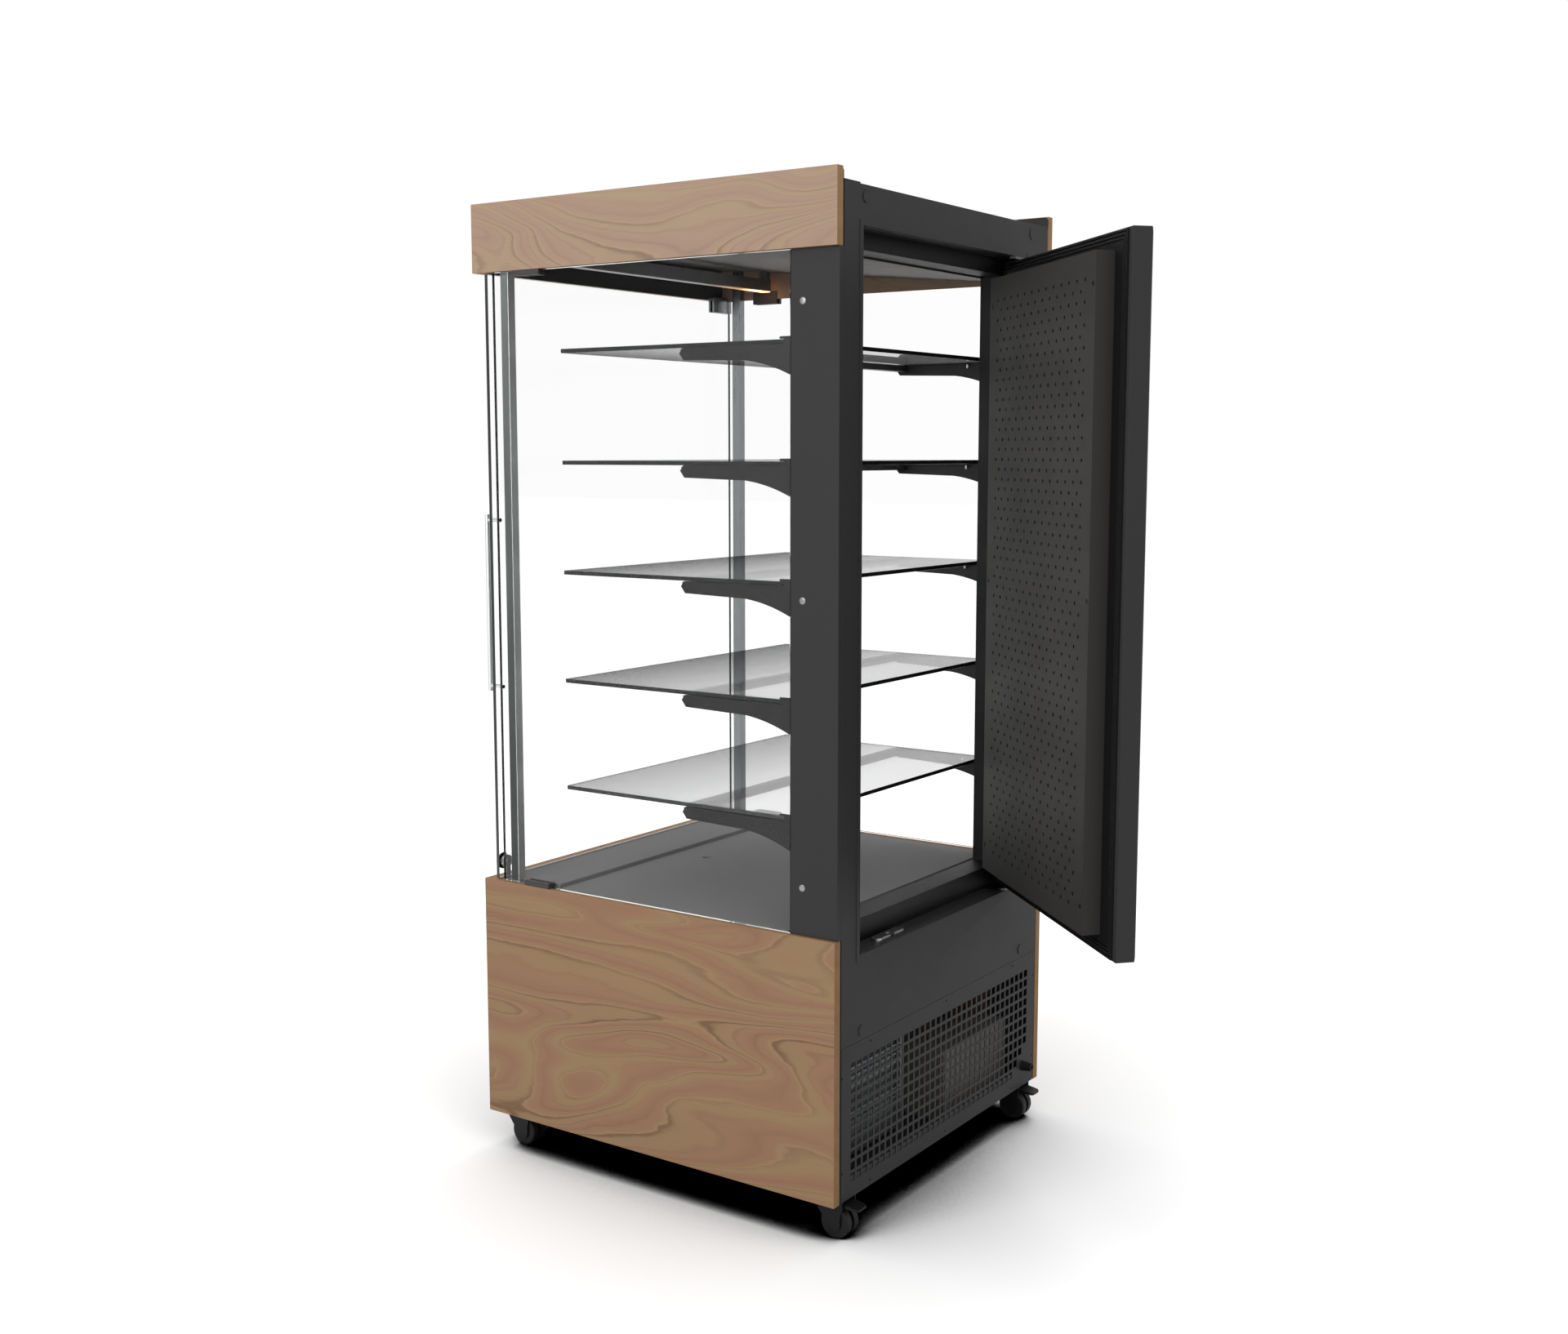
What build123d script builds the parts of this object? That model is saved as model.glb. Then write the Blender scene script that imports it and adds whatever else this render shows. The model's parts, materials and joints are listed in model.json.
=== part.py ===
from build123d import *
import os
from math import cos, radians, sin, tan

# A refrigerated pastry display case on casters. All sizes are in millimetres.
# The customer's side faces -Y, the service side faces +Y, and Z is up from the floor.

# Cabinet and its boards
cabinet_width = 833.0
cabinet_depth = 867.0
base_lift = 77.0
lower_height = 502.0
window_height = 1233.5
header_height = 134.5
board = 19.0
sheet = 1.5
slide_fit = 0.5
running_fit = 0.05

half_width = cabinet_width / 2
half_depth = cabinet_depth / 2
inner_x = half_width - board
inner_front = board - half_depth
rear_y = half_depth
board_top = base_lift + lower_height
header_bottom = board_top + window_height
header_top = header_bottom + header_height

# Chassis and casters
chassis_recess = 2.0
chassis_flange = 40.0
chassis_low = base_lift + chassis_recess
chassis_high = chassis_low + chassis_flange
tray_top = chassis_low + sheet
grille_inner = rear_y - sheet
caster_x = inner_x - 38.5
caster_y = half_depth - 41.5
wheel_radius = 30.0
wheel_trail = 18.0
wheel_outer = 20.0
wheel_gap = 4.5
wheel_edge = 2.5
hub_radius = 9.0
axle_radius = 4.0
stem_radius = 5.0
stem_flange_across = 34.0
stem_flange = 2.5
nut_across = 17.0
nut_height = 8.0
stem_end = 2.0
fork_plate = 2.5
fork_side_gap = 1.5
fork_bridge = 13.0
fork_nose = 22.0
fork_tail = 38.0
fork_shoulder = 14.0
cheek = 15.0
bridge_gap = 0.3
well_half = 80.0
pedal_width = 34.0
pedal_reach = 69.0
pedal_pin_radius = 2.0
pedal_pin_y = 34.0
pedal_pin_z = 66.0
pedal_barrel = 4.5
pedal_thick = 4.0
pedal_droop = 1.0
pedal_round = 8.0
pedal_room = 2.0

# Rear frame, its doorway and the tunnel into the display space
frame_half = inner_x - 3.5
frame_front = rear_y - 102.5
frame_top = header_top - 22.7
frame_core_low = board_top - 62.0
grille_seam = board_top - 207.0
tunnel_half = frame_half - 101.0
tunnel_low = board_top + 3.0
tunnel_high = header_bottom + 8.5
rabbet_depth = 46.6
rabbet_y = rear_y - rabbet_depth
rabbet_left = -tunnel_half - 8.0
rabbet_right = tunnel_half + 39.6
rabbet_low = tunnel_low - 45.2
rabbet_high = tunnel_high + 32.2
lip_reach = 12.0
leg_width = 17.0
trim_width = 10.9
trim_proud = 1.0
trim_over = 10.0
plug_radius = 11.0
plug_proud = 1.5
plug_x = frame_half - 71.0
plug_high = frame_top - 20.3
plug_low = grille_seam + 19.0
corner_plate_reach = 55.5
corner_plate_depth = 76.5
corner_plate = 2.2
corner_round = 8.0
corner_drop = 1.0

# Grille panel and its square holes
grille_half = frame_half - 2.0
grille_low = base_lift + 1.2
grille_gap = 0.5
hole_pitch = 21.3
hole_side = 15.3
hole_margin = 32.0
hole_columns = int((2 * (grille_half - hole_margin) - hole_side) / hole_pitch) + 1
first_hole_z = grille_seam - 42.15
last_hole_z = grille_low + 37.0
hole_rows = int((first_hole_z - last_hole_z) / hole_pitch) + 1
corner_blank = {8: 1, 9: 2, 10: 3}
gland_x = 50.0 - grille_half
gland_z = grille_low + 46.8
gland_base = 11.0
gland_mouth = 8.5
gland_bore = 4.75
gland_length = 24.0

# Glass walls, posts and the display space
glass = 8.0
glass_inset = 8.5
side_glass_outer = half_width - glass_inset
glass_front = 46.0 - half_depth
glass_rear = frame_front - 1.0
post_width = 20.0
post_depth = 20.5
post_outer = side_glass_outer - glass
post_front = glass_front + 15.5
post_rear = post_front + post_depth
clip_wall = 2.8
clip_drop = 11.0
clip_rise = 17.5
clip_fit = 0.3
clip_front = post_rear + 28.8
clip_rear = clip_front + 66.0
deck_top = board_top - 2.0
deck_thick = 10.0
deck_rear = frame_front - 18.0
drain_radius = 10.5
drain_wall = 2.0
drain_y = deck_rear - 481.0
duct_front = glass_front + 1.5
duct_step = duct_front + 86.0
duct_rear = duct_front + 136.0
duct_rise = 8.5
duct_drop = 2.0
duct_slope = 4.0
duct_edge = 1.0
ceiling_tilt = 5.14
ceiling_rear_low = header_bottom + 4.9
cover_height = 22.0
ceiling_top = frame_top - cover_height

# Shelves and their brackets, with heights taken from the middle of each glass
shelf_count = 5
first_shelf = deck_top + 211.7
shelf_pitch = 216.5
shelf_depth = 531.0
bracket_gap = 8.0
bracket_outer = post_outer - bracket_gap
shelf_side_gap = 4.0
shelf_half = bracket_outer - shelf_side_gap
shelf_rear = frame_front - 26.0
shelf_front = shelf_rear - shelf_depth
bracket_sheet = 2.0
bracket_flange = 16.0
foot_low = 61.0
foot_run = 8.0
flare_y = frame_front - 46.0
flare_low = 45.5
arm_y = frame_front - 111.0
arm_low = 31.0
nose_y = frame_front - 261.0
nose_run = 10.0
nose_low = 27.0
nose_tip = 14.0
nose_rise = 8.0
finger_y = shelf_rear - 9.0
finger_gap = 0.3
finger_height = 5.0
finger_bevel = 2.0
finger_stop = 10.0
bar_front = nose_y + 2.0
bar_rear = bar_front + 26.0
bar_top = -6.0
bar_bottom = -19.0
tab_size = 11.0
tab_front = bar_front + 7.0
peg_across = 5.0
peg_drop = 10.0
peg_inset = 7.0
peg_places = (shelf_rear - 50.0, shelf_rear - 15.0)

# Lamp under the header
lamp_half = inner_x - 27.5
lamp_front = inner_front + 132.5
lamp_width = 27.0
lamp_rear = lamp_front + lamp_width
lamp_low = header_bottom + 13.9
lamp_height = 26.0
lamp_hanger = 12.0
diffuser_wall = 2.0
diffuser_height = 4.0
diffuser_proud = 1.0

# Machine space behind the grille
tub_low = board_top - 184.0
tub_half = inner_x - 21.5
tub_front = inner_front + 19.5
tub_rear = frame_front - 11.0
tub_round = 12.0
drain_spout = 30.0
coil_right = inner_x - 97.5
coil_left = coil_right - 280.0
coil_rear = rear_y - 88.5
coil_front = coil_rear - 45.0
coil_bottom = tray_top + 10.5
coil_top = coil_bottom + 226.0
coil_edge = 12.0
coil_foot = 20.0
fin_pitch = 18.0
fin = 3.0
fin_depth = 12.0
fan_radius = 95.0
fan_blades = 5
fan_hub = 24.0
fan_depth = 26.0
blade_chord = 30.0
blade_sheet = 2.5
blade_pitch = 38.0
blade_root = 2.0
fan_gap = 6.0
fan_clear = 2.0
shroud_depth = 36.0
motor_radius = 30.0
motor_length = 50.0
motor_bar = 12.0
motor_bar_depth = 10.0
fan_shaft = 4.0
compressor_x = coil_right - 150.0
compressor_y = coil_rear - 255.0
compressor_radius = 78.0
compressor_height = 190.0
compressor_bevel = 14.0
compressor_plate = 4.0
compressor_foot = 12.0
foot_half = 11.0
foot_inset = 14.0
box_left = 67.5 - inner_x
box_right = box_left + 270.0
box_rear = rear_y - 38.5
box_front = box_rear - 140.0
box_height = 150.0
box_edge = 3.0
rail_front = rear_y - 29.5
rail_height = 24.0
rail_flange = 14.0

# Front glass door
door_glass_front = 25.5 - half_depth
door_low = board_top + 2.0
door_high = header_bottom - 2.5
clamp_left = -side_glass_outer
clamp_right = clamp_left + 69.0
clamp_height = 28.0
clamp_half = 8.5
clamp_gap = 0.3
front_pin = 3.0
pin_reach = 20.0
front_pivot_x = clamp_left + 14.0
pivot_plate = 6.0
notch_clear = 5.0
notch_rise = 4.0
bar_radius = 5.0
bar_x = side_glass_outer - 32.0
bar_y = door_glass_front - 37.0
pull_low = board_top + 388.0
pull_length = 365.0
pull_high = pull_low + pull_length
standoff_radius = 4.0
standoff_inset = 11.0
lock_x = side_glass_outer - 20.0
lock_z = door_low + 33.0
lock_radius = 10.0
lock_flange = 17.0
lock_face = 3.0
lock_nut = 14.0
lock_nut_thick = 6.0
cam_length = 24.0
cam_width = 12.0
cam_thick = 3.0

# Service door. Its sizes are measured from the hinge axis with the door closed.
open_angle = 47.57
door_gap = 4.0
hinge_x = rabbet_left + 9.0
hinge_y = rear_y - 5.5
slab_left = rabbet_left - hinge_x + door_gap
slab_right = rabbet_right - hinge_x - door_gap
slab_thick = 41.0
slab_low = rabbet_low + 12.6
slab_high = rabbet_high - 11.6
chamfer_face = 8.5
chamfer_deep = 5.0
hinge_block = 14.0
hinge_round = 4.5
hinge_pin = 3.0
pin_depth = 20.0
pin_end = 1.0
hinge_plate = 5.0
hinge_plate_width = 60.0
hinge_plate_round = 12.0
gasket_thick = 4.0
gasket_free = (slab_right - 32.6, slab_right - 14.6)
gasket_hinge = (slab_left + 2.0, slab_left + 15.0)
gasket_low = (slab_low + 1.6, slab_low + 19.6)
gasket_high = (slab_high - 18.6, slab_high - 2.6)
liner_thick = 1.5
duct_left = slab_left + 18.0
duct_right = slab_right - 69.9
duct_deep = 37.0
duct_sheet = 1.2
duct_low = slab_low + 34.6
duct_high = slab_high - 33.6
latch_u = slab_right - 136.6
latch_v = -16.0
latch_radius = 5.0
latch_hang = 10.0
latch_length = 40.0
latch_travel = 8.0
latch_room = 2.0
keeper_half = 50.0
keeper_rear = rear_y - 13.5
keeper_front = keeper_rear - 21.0
keeper_height = 6.5
keeper_slot = 14.0

# The origin lies under the middle of everything, with the service door standing open.
turn = radians(open_angle)
slab_outer = rear_y - hinge_y
slab_inner = slab_outer - slab_thick
far_y = hinge_y + slab_right * sin(turn) + (slab_outer - chamfer_deep) * cos(turn)
near_y = bar_y - bar_radius
shift_y = -(far_y + near_y) / 2
door_plane = Plane(origin=(hinge_x, hinge_y, 0), x_dir=(cos(turn), sin(turn), 0), z_dir=(0, 0, 1))

os.makedirs("parts", exist_ok=True)


def ceiling_at(y):
    """The height of the ceiling's underside, which falls towards the service side."""
    return ceiling_rear_low + (frame_front - y) * tan(radians(ceiling_tilt))


def block(x, y, z, base=Plane.XY, mode=Mode.ADD):
    """Extrude a rectangle whose low and high limits are given along each axis of the base plane."""
    with BuildSketch(base.offset(z[0]), mode=Mode.PRIVATE) as outline:
        with Locations(((x[0] + x[1]) / 2, (y[0] + y[1]) / 2)):
            Rectangle(x[1] - x[0], y[1] - y[0])
    extrude(outline.sketch, amount=z[1] - z[0], mode=mode)


def rod(plane, centre, radius, length, mode=Mode.ADD):
    """Extrude a circle drawn at centre on the plane along the plane's own normal."""
    with BuildSketch(plane, mode=Mode.PRIVATE) as outline:
        with Locations(centre):
            Circle(radius)
    extrude(outline.sketch, amount=length, mode=mode)


def facing_rear(y):
    """A plane at this depth whose normal points to the service side, with X to the left."""
    return Plane(origin=(0, y, 0), x_dir=(-1, 0, 0), z_dir=(0, 1, 0))


def save(builder, name):
    """Shift a finished piece into the shared frame, label it and write it."""
    piece = Pos(0, shift_y, 0) * builder.part
    piece.label = name
    export_step(piece, f"parts/{name}.step")


# Wooden boards
with BuildPart() as lower_side_panels:
    block((inner_x, half_width), (-half_depth, half_depth), (base_lift, board_top))
    mirror(about=Plane.YZ)
save(lower_side_panels, "lower_side_panels")

with BuildPart() as lower_front_panel:
    block((-inner_x, inner_x), (-half_depth, inner_front), (base_lift, board_top))
save(lower_front_panel, "lower_front_panel")

with BuildPart() as header_side_panels:
    block((inner_x, half_width), (-half_depth, half_depth), (header_bottom, header_top))
    mirror(about=Plane.YZ)
save(header_side_panels, "header_side_panels")

with BuildPart() as header_front_panel:
    block((-inner_x, inner_x), (-half_depth, inner_front), (header_bottom, header_top))
save(header_front_panel, "header_front_panel")

# Corner plates that tie the header boards to the rear frame
corner_plate_y = (rear_y - corner_plate_depth, rear_y)
with BuildPart() as header_corner_plates:
    block((inner_x - corner_plate_reach, inner_x), corner_plate_y, (frame_top, frame_top + corner_plate))
    block((inner_x - corner_plate, inner_x), corner_plate_y, (frame_top, header_top - corner_drop))
    upright = header_corner_plates.edges().filter_by(Axis.X).group_by(Axis.Z)[-1]
    fillet(upright, corner_round)
    mirror(about=Plane.YZ)
save(header_corner_plates, "header_corner_plates")

# Chassis tray with four stem holes, its rear flange behind the grille
with BuildPart() as base_chassis:
    block((-inner_x, inner_x), (inner_front, grille_inner), (chassis_low, chassis_high))
    block(
        (sheet - inner_x, inner_x - sheet),
        (inner_front + sheet, grille_inner - sheet),
        (chassis_low + sheet, chassis_high),
        mode=Mode.SUBTRACT,
    )
    with BuildSketch(Plane.XY.offset(chassis_low)):
        with GridLocations(2 * caster_x, 2 * caster_y, 2, 2):
            Circle(stem_radius)
    extrude(amount=sheet, mode=Mode.SUBTRACT)
save(base_chassis, "base_chassis")

# Threaded caster stems with their flange below and nut above the chassis
bridge_top = chassis_low - stem_flange - bridge_gap
bridge_low = bridge_top - fork_bridge
stem_low = bridge_low + slide_fit
with BuildPart() as caster_stems:
    with BuildSketch(Plane.XY.offset(chassis_low - stem_flange)):
        with GridLocations(2 * caster_x, 2 * caster_y, 2, 2):
            RegularPolygon(stem_flange_across / 2, 6, major_radius=False)
    extrude(amount=stem_flange)
    with BuildSketch(Plane.XY.offset(stem_low)):
        with GridLocations(2 * caster_x, 2 * caster_y, 2, 2):
            Circle(stem_radius)
    extrude(amount=tray_top + nut_height + stem_end - stem_low)
    with BuildSketch(Plane.XY.offset(tray_top)):
        with GridLocations(2 * caster_x, 2 * caster_y, 2, 2):
            RegularPolygon(nut_across / 2, 6, major_radius=False)
    extrude(amount=nut_height)
save(caster_stems, "caster_stems")

# Casters: a fork that swivels, a pair of wheels on its axle, and a brake pedal on the rear two
fork_inner = wheel_outer + fork_side_gap
fork_outer = fork_inner + fork_plate
corners = {
    "front_left": (-caster_x, -caster_y),
    "front_right": (caster_x, -caster_y),
    "rear_left": (-caster_x, caster_y),
    "rear_right": (caster_x, caster_y),
}
for corner, (swivel_x, swivel_y) in corners.items():
    braked = corner.startswith("rear")
    side_plane = Plane(origin=(swivel_x - fork_outer, swivel_y, 0), x_dir=(0, 1, 0), z_dir=(1, 0, 0))

    with BuildPart() as fork:
        with BuildSketch(side_plane):
            with BuildLine():
                Polyline(
                    (-fork_nose, bridge_top),
                    (-fork_nose, bridge_low),
                    (wheel_trail - cheek, wheel_radius),
                )
                RadiusArc((wheel_trail - cheek, wheel_radius), (wheel_trail + cheek, wheel_radius), -cheek)
                Polyline(
                    (wheel_trail + cheek, wheel_radius),
                    (wheel_trail + cheek, wheel_radius + fork_shoulder),
                    (fork_tail, bridge_low),
                    (fork_tail, bridge_top),
                    (-fork_nose, bridge_top),
                )
            make_face()
        extrude(amount=2 * fork_outer)
        with BuildSketch(side_plane.offset(fork_plate)):
            with Locations((wheel_trail, bridge_low / 2)):
                Rectangle(2 * well_half, bridge_low)
            if braked:
                with Locations((pedal_pin_y, bridge_low + fork_bridge / 2)):
                    Rectangle(2 * (pedal_barrel + pedal_room), fork_bridge + pedal_room)
        extrude(amount=2 * fork_inner, mode=Mode.SUBTRACT)
        rod(Plane.XY.offset(bridge_low), (swivel_x, swivel_y), stem_radius + running_fit,
            fork_bridge, mode=Mode.SUBTRACT)
        rod(side_plane, (wheel_trail, wheel_radius), axle_radius, 2 * fork_outer)
        if braked:
            rod(side_plane, (pedal_pin_y, pedal_pin_z), pedal_pin_radius, 2 * fork_outer)
    save(fork, f"caster_fork_{corner}")

    axle_plane = Plane(
        origin=(swivel_x, swivel_y + wheel_trail, wheel_radius),
        x_dir=(1, 0, 0),
        z_dir=(0, -1, 0),
    )
    bore = axle_radius + running_fit
    with BuildPart() as wheels:
        with BuildSketch(axle_plane):
            with BuildLine():
                Polyline(
                    (-wheel_outer, bore),
                    (-wheel_outer, wheel_radius - wheel_edge),
                    (wheel_edge - wheel_outer, wheel_radius),
                    (-wheel_gap, wheel_radius),
                    (-wheel_gap, hub_radius),
                    (wheel_gap, hub_radius),
                    (wheel_gap, wheel_radius),
                    (wheel_outer - wheel_edge, wheel_radius),
                    (wheel_outer, wheel_radius - wheel_edge),
                    (wheel_outer, bore),
                    close=True,
                )
            make_face()
        revolve(axis=Axis(axle_plane.origin, (1, 0, 0)))
    save(wheels, f"caster_wheels_{corner}")

    if braked:
        with BuildPart() as pedal:
            with BuildSketch(side_plane.offset(fork_outer - pedal_width / 2)):
                with Locations((pedal_pin_y, pedal_pin_z)):
                    Circle(pedal_barrel)
                with BuildLine():
                    Polyline(
                        (pedal_pin_y, pedal_pin_z - pedal_barrel),
                        (pedal_reach, pedal_pin_z - pedal_thick - pedal_droop),
                        (pedal_reach, pedal_pin_z - pedal_droop),
                        (pedal_pin_y, pedal_pin_z + pedal_barrel),
                        (pedal_pin_y, pedal_pin_z - pedal_barrel),
                    )
                make_face()
                with Locations((pedal_pin_y, pedal_pin_z)):
                    Circle(pedal_pin_radius + running_fit, mode=Mode.SUBTRACT)
            extrude(amount=pedal_width)
            tips = pedal.edges().filter_by(Axis.Z).group_by(Axis.Y)[-1]
            fillet(tips, pedal_round)
        save(pedal, f"brake_pedal_{corner}")

# Rear frame: an insulated ring around the doorway over a sheet apron and two legs
with BuildPart() as rear_frame:
    block((-frame_half, frame_half), (frame_front, rear_y), (frame_core_low, frame_top))
    block((-tunnel_half, tunnel_half), (frame_front, rear_y), (tunnel_low, tunnel_high), mode=Mode.SUBTRACT)
    block((rabbet_left, rabbet_right), (rabbet_y, rear_y), (rabbet_low, rabbet_high), mode=Mode.SUBTRACT)
    block((rabbet_left, lip_reach - tunnel_half), (rabbet_y - sheet, rabbet_y), (tunnel_low, tunnel_high))
    block((-frame_half, frame_half), (grille_inner, rear_y), (grille_seam + grille_gap, frame_core_low))
    for side in (-1, 1):
        outer, inner = side * frame_half, side * (frame_half - leg_width)
        block(
            (min(outer, inner), max(outer, inner)),
            (grille_inner - sheet, grille_inner),
            (chassis_high, frame_core_low),
        )
        inner = side * (frame_half - sheet)
        block(
            (min(outer, inner), max(outer, inner)),
            (frame_front, grille_inner),
            (chassis_high, frame_core_low),
        )
    block(
        (-frame_half, frame_half),
        (grille_inner - sheet, grille_inner),
        (grille_seam - leg_width, grille_seam + leg_width),
    )
save(rear_frame, "rear_frame")

# Thin strips that cover the joint of the frame at both sides of the doorway
trim_low = rabbet_low - trim_over
trim_high = rabbet_high + trim_over
with BuildPart() as frame_trims:
    block((rabbet_right, rabbet_right + trim_width), (rear_y, rear_y + trim_proud), (trim_low, trim_high))
    block((rabbet_left - trim_width, rabbet_left), (rear_y, rear_y + trim_proud), (trim_low, trim_high))
save(frame_trims, "frame_trims")

# Round plugs that close the frame's filling holes
with BuildPart() as frame_plugs:
    for plug_z in (plug_low, plug_high):
        for plug_side in (-plug_x, plug_x):
            rod(facing_rear(rear_y), (plug_side, plug_z), plug_radius, plug_proud)
save(frame_plugs, "frame_plugs")

# Folded covers over the insulated rear posts
with BuildPart() as post_covers:
    block((frame_half, side_glass_outer), (frame_front, rear_y), (board_top, header_bottom))
    mirror(about=Plane.YZ)
save(post_covers, "post_covers")

# Grille panel: a folded sheet with rows of square holes that leave its gland corner whole
with BuildPart() as grille_panel:
    block((-grille_half, grille_half), (grille_inner, rear_y), (grille_low, grille_seam))
    hole_centres = [
        ((hole_columns - 1) / 2 * hole_pitch - column * hole_pitch, first_hole_z - row * hole_pitch)
        for row in range(hole_rows)
        for column in range(hole_columns - corner_blank.get(row, 0))
    ]
    with BuildSketch(Plane.XZ.offset(-rear_y)):
        with Locations(*hole_centres):
            Rectangle(hole_side, hole_side)
    extrude(amount=sheet, mode=Mode.SUBTRACT)
save(grille_panel, "grille_panel")

# Cable gland: a tapered rubber cone with a bore
with BuildPart() as cable_gland:
    with BuildSketch(Plane.YZ.offset(gland_x)):
        with BuildLine():
            Polyline(
                (rear_y, gland_z + gland_bore),
                (rear_y, gland_z + gland_base),
                (rear_y + gland_length, gland_z + gland_mouth),
                (rear_y + gland_length, gland_z + gland_bore),
                close=True,
            )
        make_face()
    revolve(axis=Axis((gland_x, 0, gland_z), (0, 1, 0)))
save(cable_gland, "cable_gland")

# Glass walls and the satin posts behind the front door
with BuildPart() as side_glasses:
    block((side_glass_outer - glass, side_glass_outer), (glass_front, glass_rear), (board_top, header_bottom))
    mirror(about=Plane.YZ)
save(side_glasses, "side_glasses")

with BuildPart() as front_posts:
    block((post_outer - post_width, post_outer), (post_front, post_rear), (board_top, header_bottom))
    block((post_outer - post_width, inner_x), (post_front, post_rear), (deck_top, board_top))
    block((post_outer - post_width, inner_x), (post_front, post_rear),
          (header_bottom, ceiling_at(post_rear)))
    mirror(about=Plane.YZ)
save(front_posts, "front_posts")

# Clips that hold the upper edge of each side glass under the header board
with BuildPart() as glass_clips:
    clip_low = header_bottom - clip_drop
    clip_inner = inner_x - clip_wall
    block((side_glass_outer + clip_fit, half_width), (clip_front, clip_rear), (clip_low, header_bottom))
    block((clip_inner, post_outer - clip_fit), (clip_front, clip_rear), (clip_low, header_bottom))
    block((clip_inner, inner_x), (clip_front, clip_rear), (header_bottom, header_bottom + clip_rise))
    mirror(about=Plane.YZ)
save(glass_clips, "glass_clips")

# Deck pan with its drain, and the raised air duct at the customer's side
with BuildPart() as deck:
    block((-inner_x, inner_x), (inner_front, deck_rear), (deck_top - deck_thick, deck_top))
    rod(Plane.XY.offset(deck_top - deck_thick), (0, drain_y), drain_radius, deck_thick, mode=Mode.SUBTRACT)
save(deck, "deck")

duct_top = deck_top + duct_rise
with BuildPart() as front_duct:
    with BuildSketch(Plane.YZ.offset(-shelf_half)):
        with BuildLine():
            Polyline(
                (duct_rear, deck_top),
                (duct_rear, duct_top - duct_edge),
                (duct_rear - duct_edge, duct_top),
                (duct_step, duct_top),
                (duct_step - duct_slope, duct_top - duct_drop),
                (duct_front, duct_top - duct_drop),
                (duct_front, deck_top),
                close=True,
            )
        make_face()
    extrude(amount=2 * shelf_half)
    for notch_x in ((-shelf_half, post_width - post_outer), (post_outer - post_width, shelf_half)):
        block(notch_x, (post_front - slide_fit, post_rear + slide_fit), (deck_top, duct_top),
              mode=Mode.SUBTRACT)
save(front_duct, "front_duct")

# Insulated ceiling with its sloping underside, and the cover above it
with BuildPart() as ceiling:
    with BuildSketch(Plane.YZ.offset(-inner_x)):
        with BuildLine():
            Polyline(
                (inner_front, ceiling_at(inner_front)),
                (frame_front, ceiling_rear_low),
                (frame_front, ceiling_top),
                (inner_front, ceiling_top),
                close=True,
            )
        make_face()
    extrude(amount=2 * inner_x)
save(ceiling, "ceiling")

with BuildPart() as top_cover:
    block((-inner_x, inner_x), (inner_front, frame_front), (ceiling_top, frame_top))
    block(
        (sheet - inner_x, inner_x - sheet),
        (inner_front + sheet, frame_front - sheet),
        (ceiling_top, frame_top - sheet),
        mode=Mode.SUBTRACT,
    )
save(top_cover, "top_cover")

# Shelf brackets: folded sheet arms that hold the glass on a flange and under a finger
shelf_middles = [first_shelf + shelf_pitch * step for step in range(shelf_count)]
under_glass = -glass / 2
over_glass = glass / 2 + finger_gap
finger_top = glass / 2 + finger_height
with BuildPart() as brackets_right:
    for middle in shelf_middles:
        with BuildSketch(Plane.YZ.offset(bracket_outer - bracket_sheet)) as arm:
            with BuildLine():
                Line((frame_front, middle - foot_low), (frame_front - foot_run, middle - foot_low))
                ThreePointArc(
                    (frame_front - foot_run, middle - foot_low),
                    (flare_y, middle - flare_low),
                    (arm_y, middle - arm_low),
                )
                Polyline(
                    (arm_y, middle - arm_low),
                    (nose_y + nose_run, middle - nose_low),
                    (nose_y, middle - nose_tip),
                    (nose_y + nose_rise, middle + under_glass),
                    (finger_y + finger_stop, middle + under_glass),
                    (finger_y + finger_stop, middle + over_glass),
                    (finger_y + finger_bevel, middle + over_glass),
                    (finger_y, middle + over_glass + finger_bevel),
                    (finger_y + finger_bevel, middle + finger_top),
                    (frame_front, middle + finger_top),
                    (frame_front, middle - foot_low),
                )
            make_face()
            with Locations((tab_front + tab_size / 2, middle + (bar_top + bar_bottom) / 2)):
                Rectangle(tab_size, tab_size, mode=Mode.SUBTRACT)
        extrude(amount=bracket_sheet)
        block(
            (bracket_outer - bracket_flange, bracket_outer - bracket_sheet),
            (bar_rear + slide_fit, frame_front),
            (middle + under_glass - bracket_sheet, middle + under_glass),
        )
save(brackets_right, "brackets_right")

with BuildPart() as brackets_left:
    mirror(brackets_right.part, about=Plane.YZ)
save(brackets_left, "brackets_left")

# Bars across the bracket noses, with a tab through each bracket
bar_half = bracket_outer - bracket_sheet
with BuildPart() as bracket_bars:
    for middle in shelf_middles:
        block((-bar_half, bar_half), (bar_front, bar_rear), (middle + bar_bottom, middle + bar_top))
        tab_middle = middle + (bar_top + bar_bottom) / 2
        block(
            (-bracket_outer, bracket_outer),
            (tab_front, tab_front + tab_size),
            (tab_middle - tab_size / 2, tab_middle + tab_size / 2),
        )
save(bracket_bars, "bracket_bars")

# Glass shelves
for number, middle in enumerate(shelf_middles, start=1):
    with BuildPart() as shelf:
        block((-shelf_half, shelf_half), (shelf_front, shelf_rear), (middle - glass / 2, middle + glass / 2))
    save(shelf, f"shelf_{number}")

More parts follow.
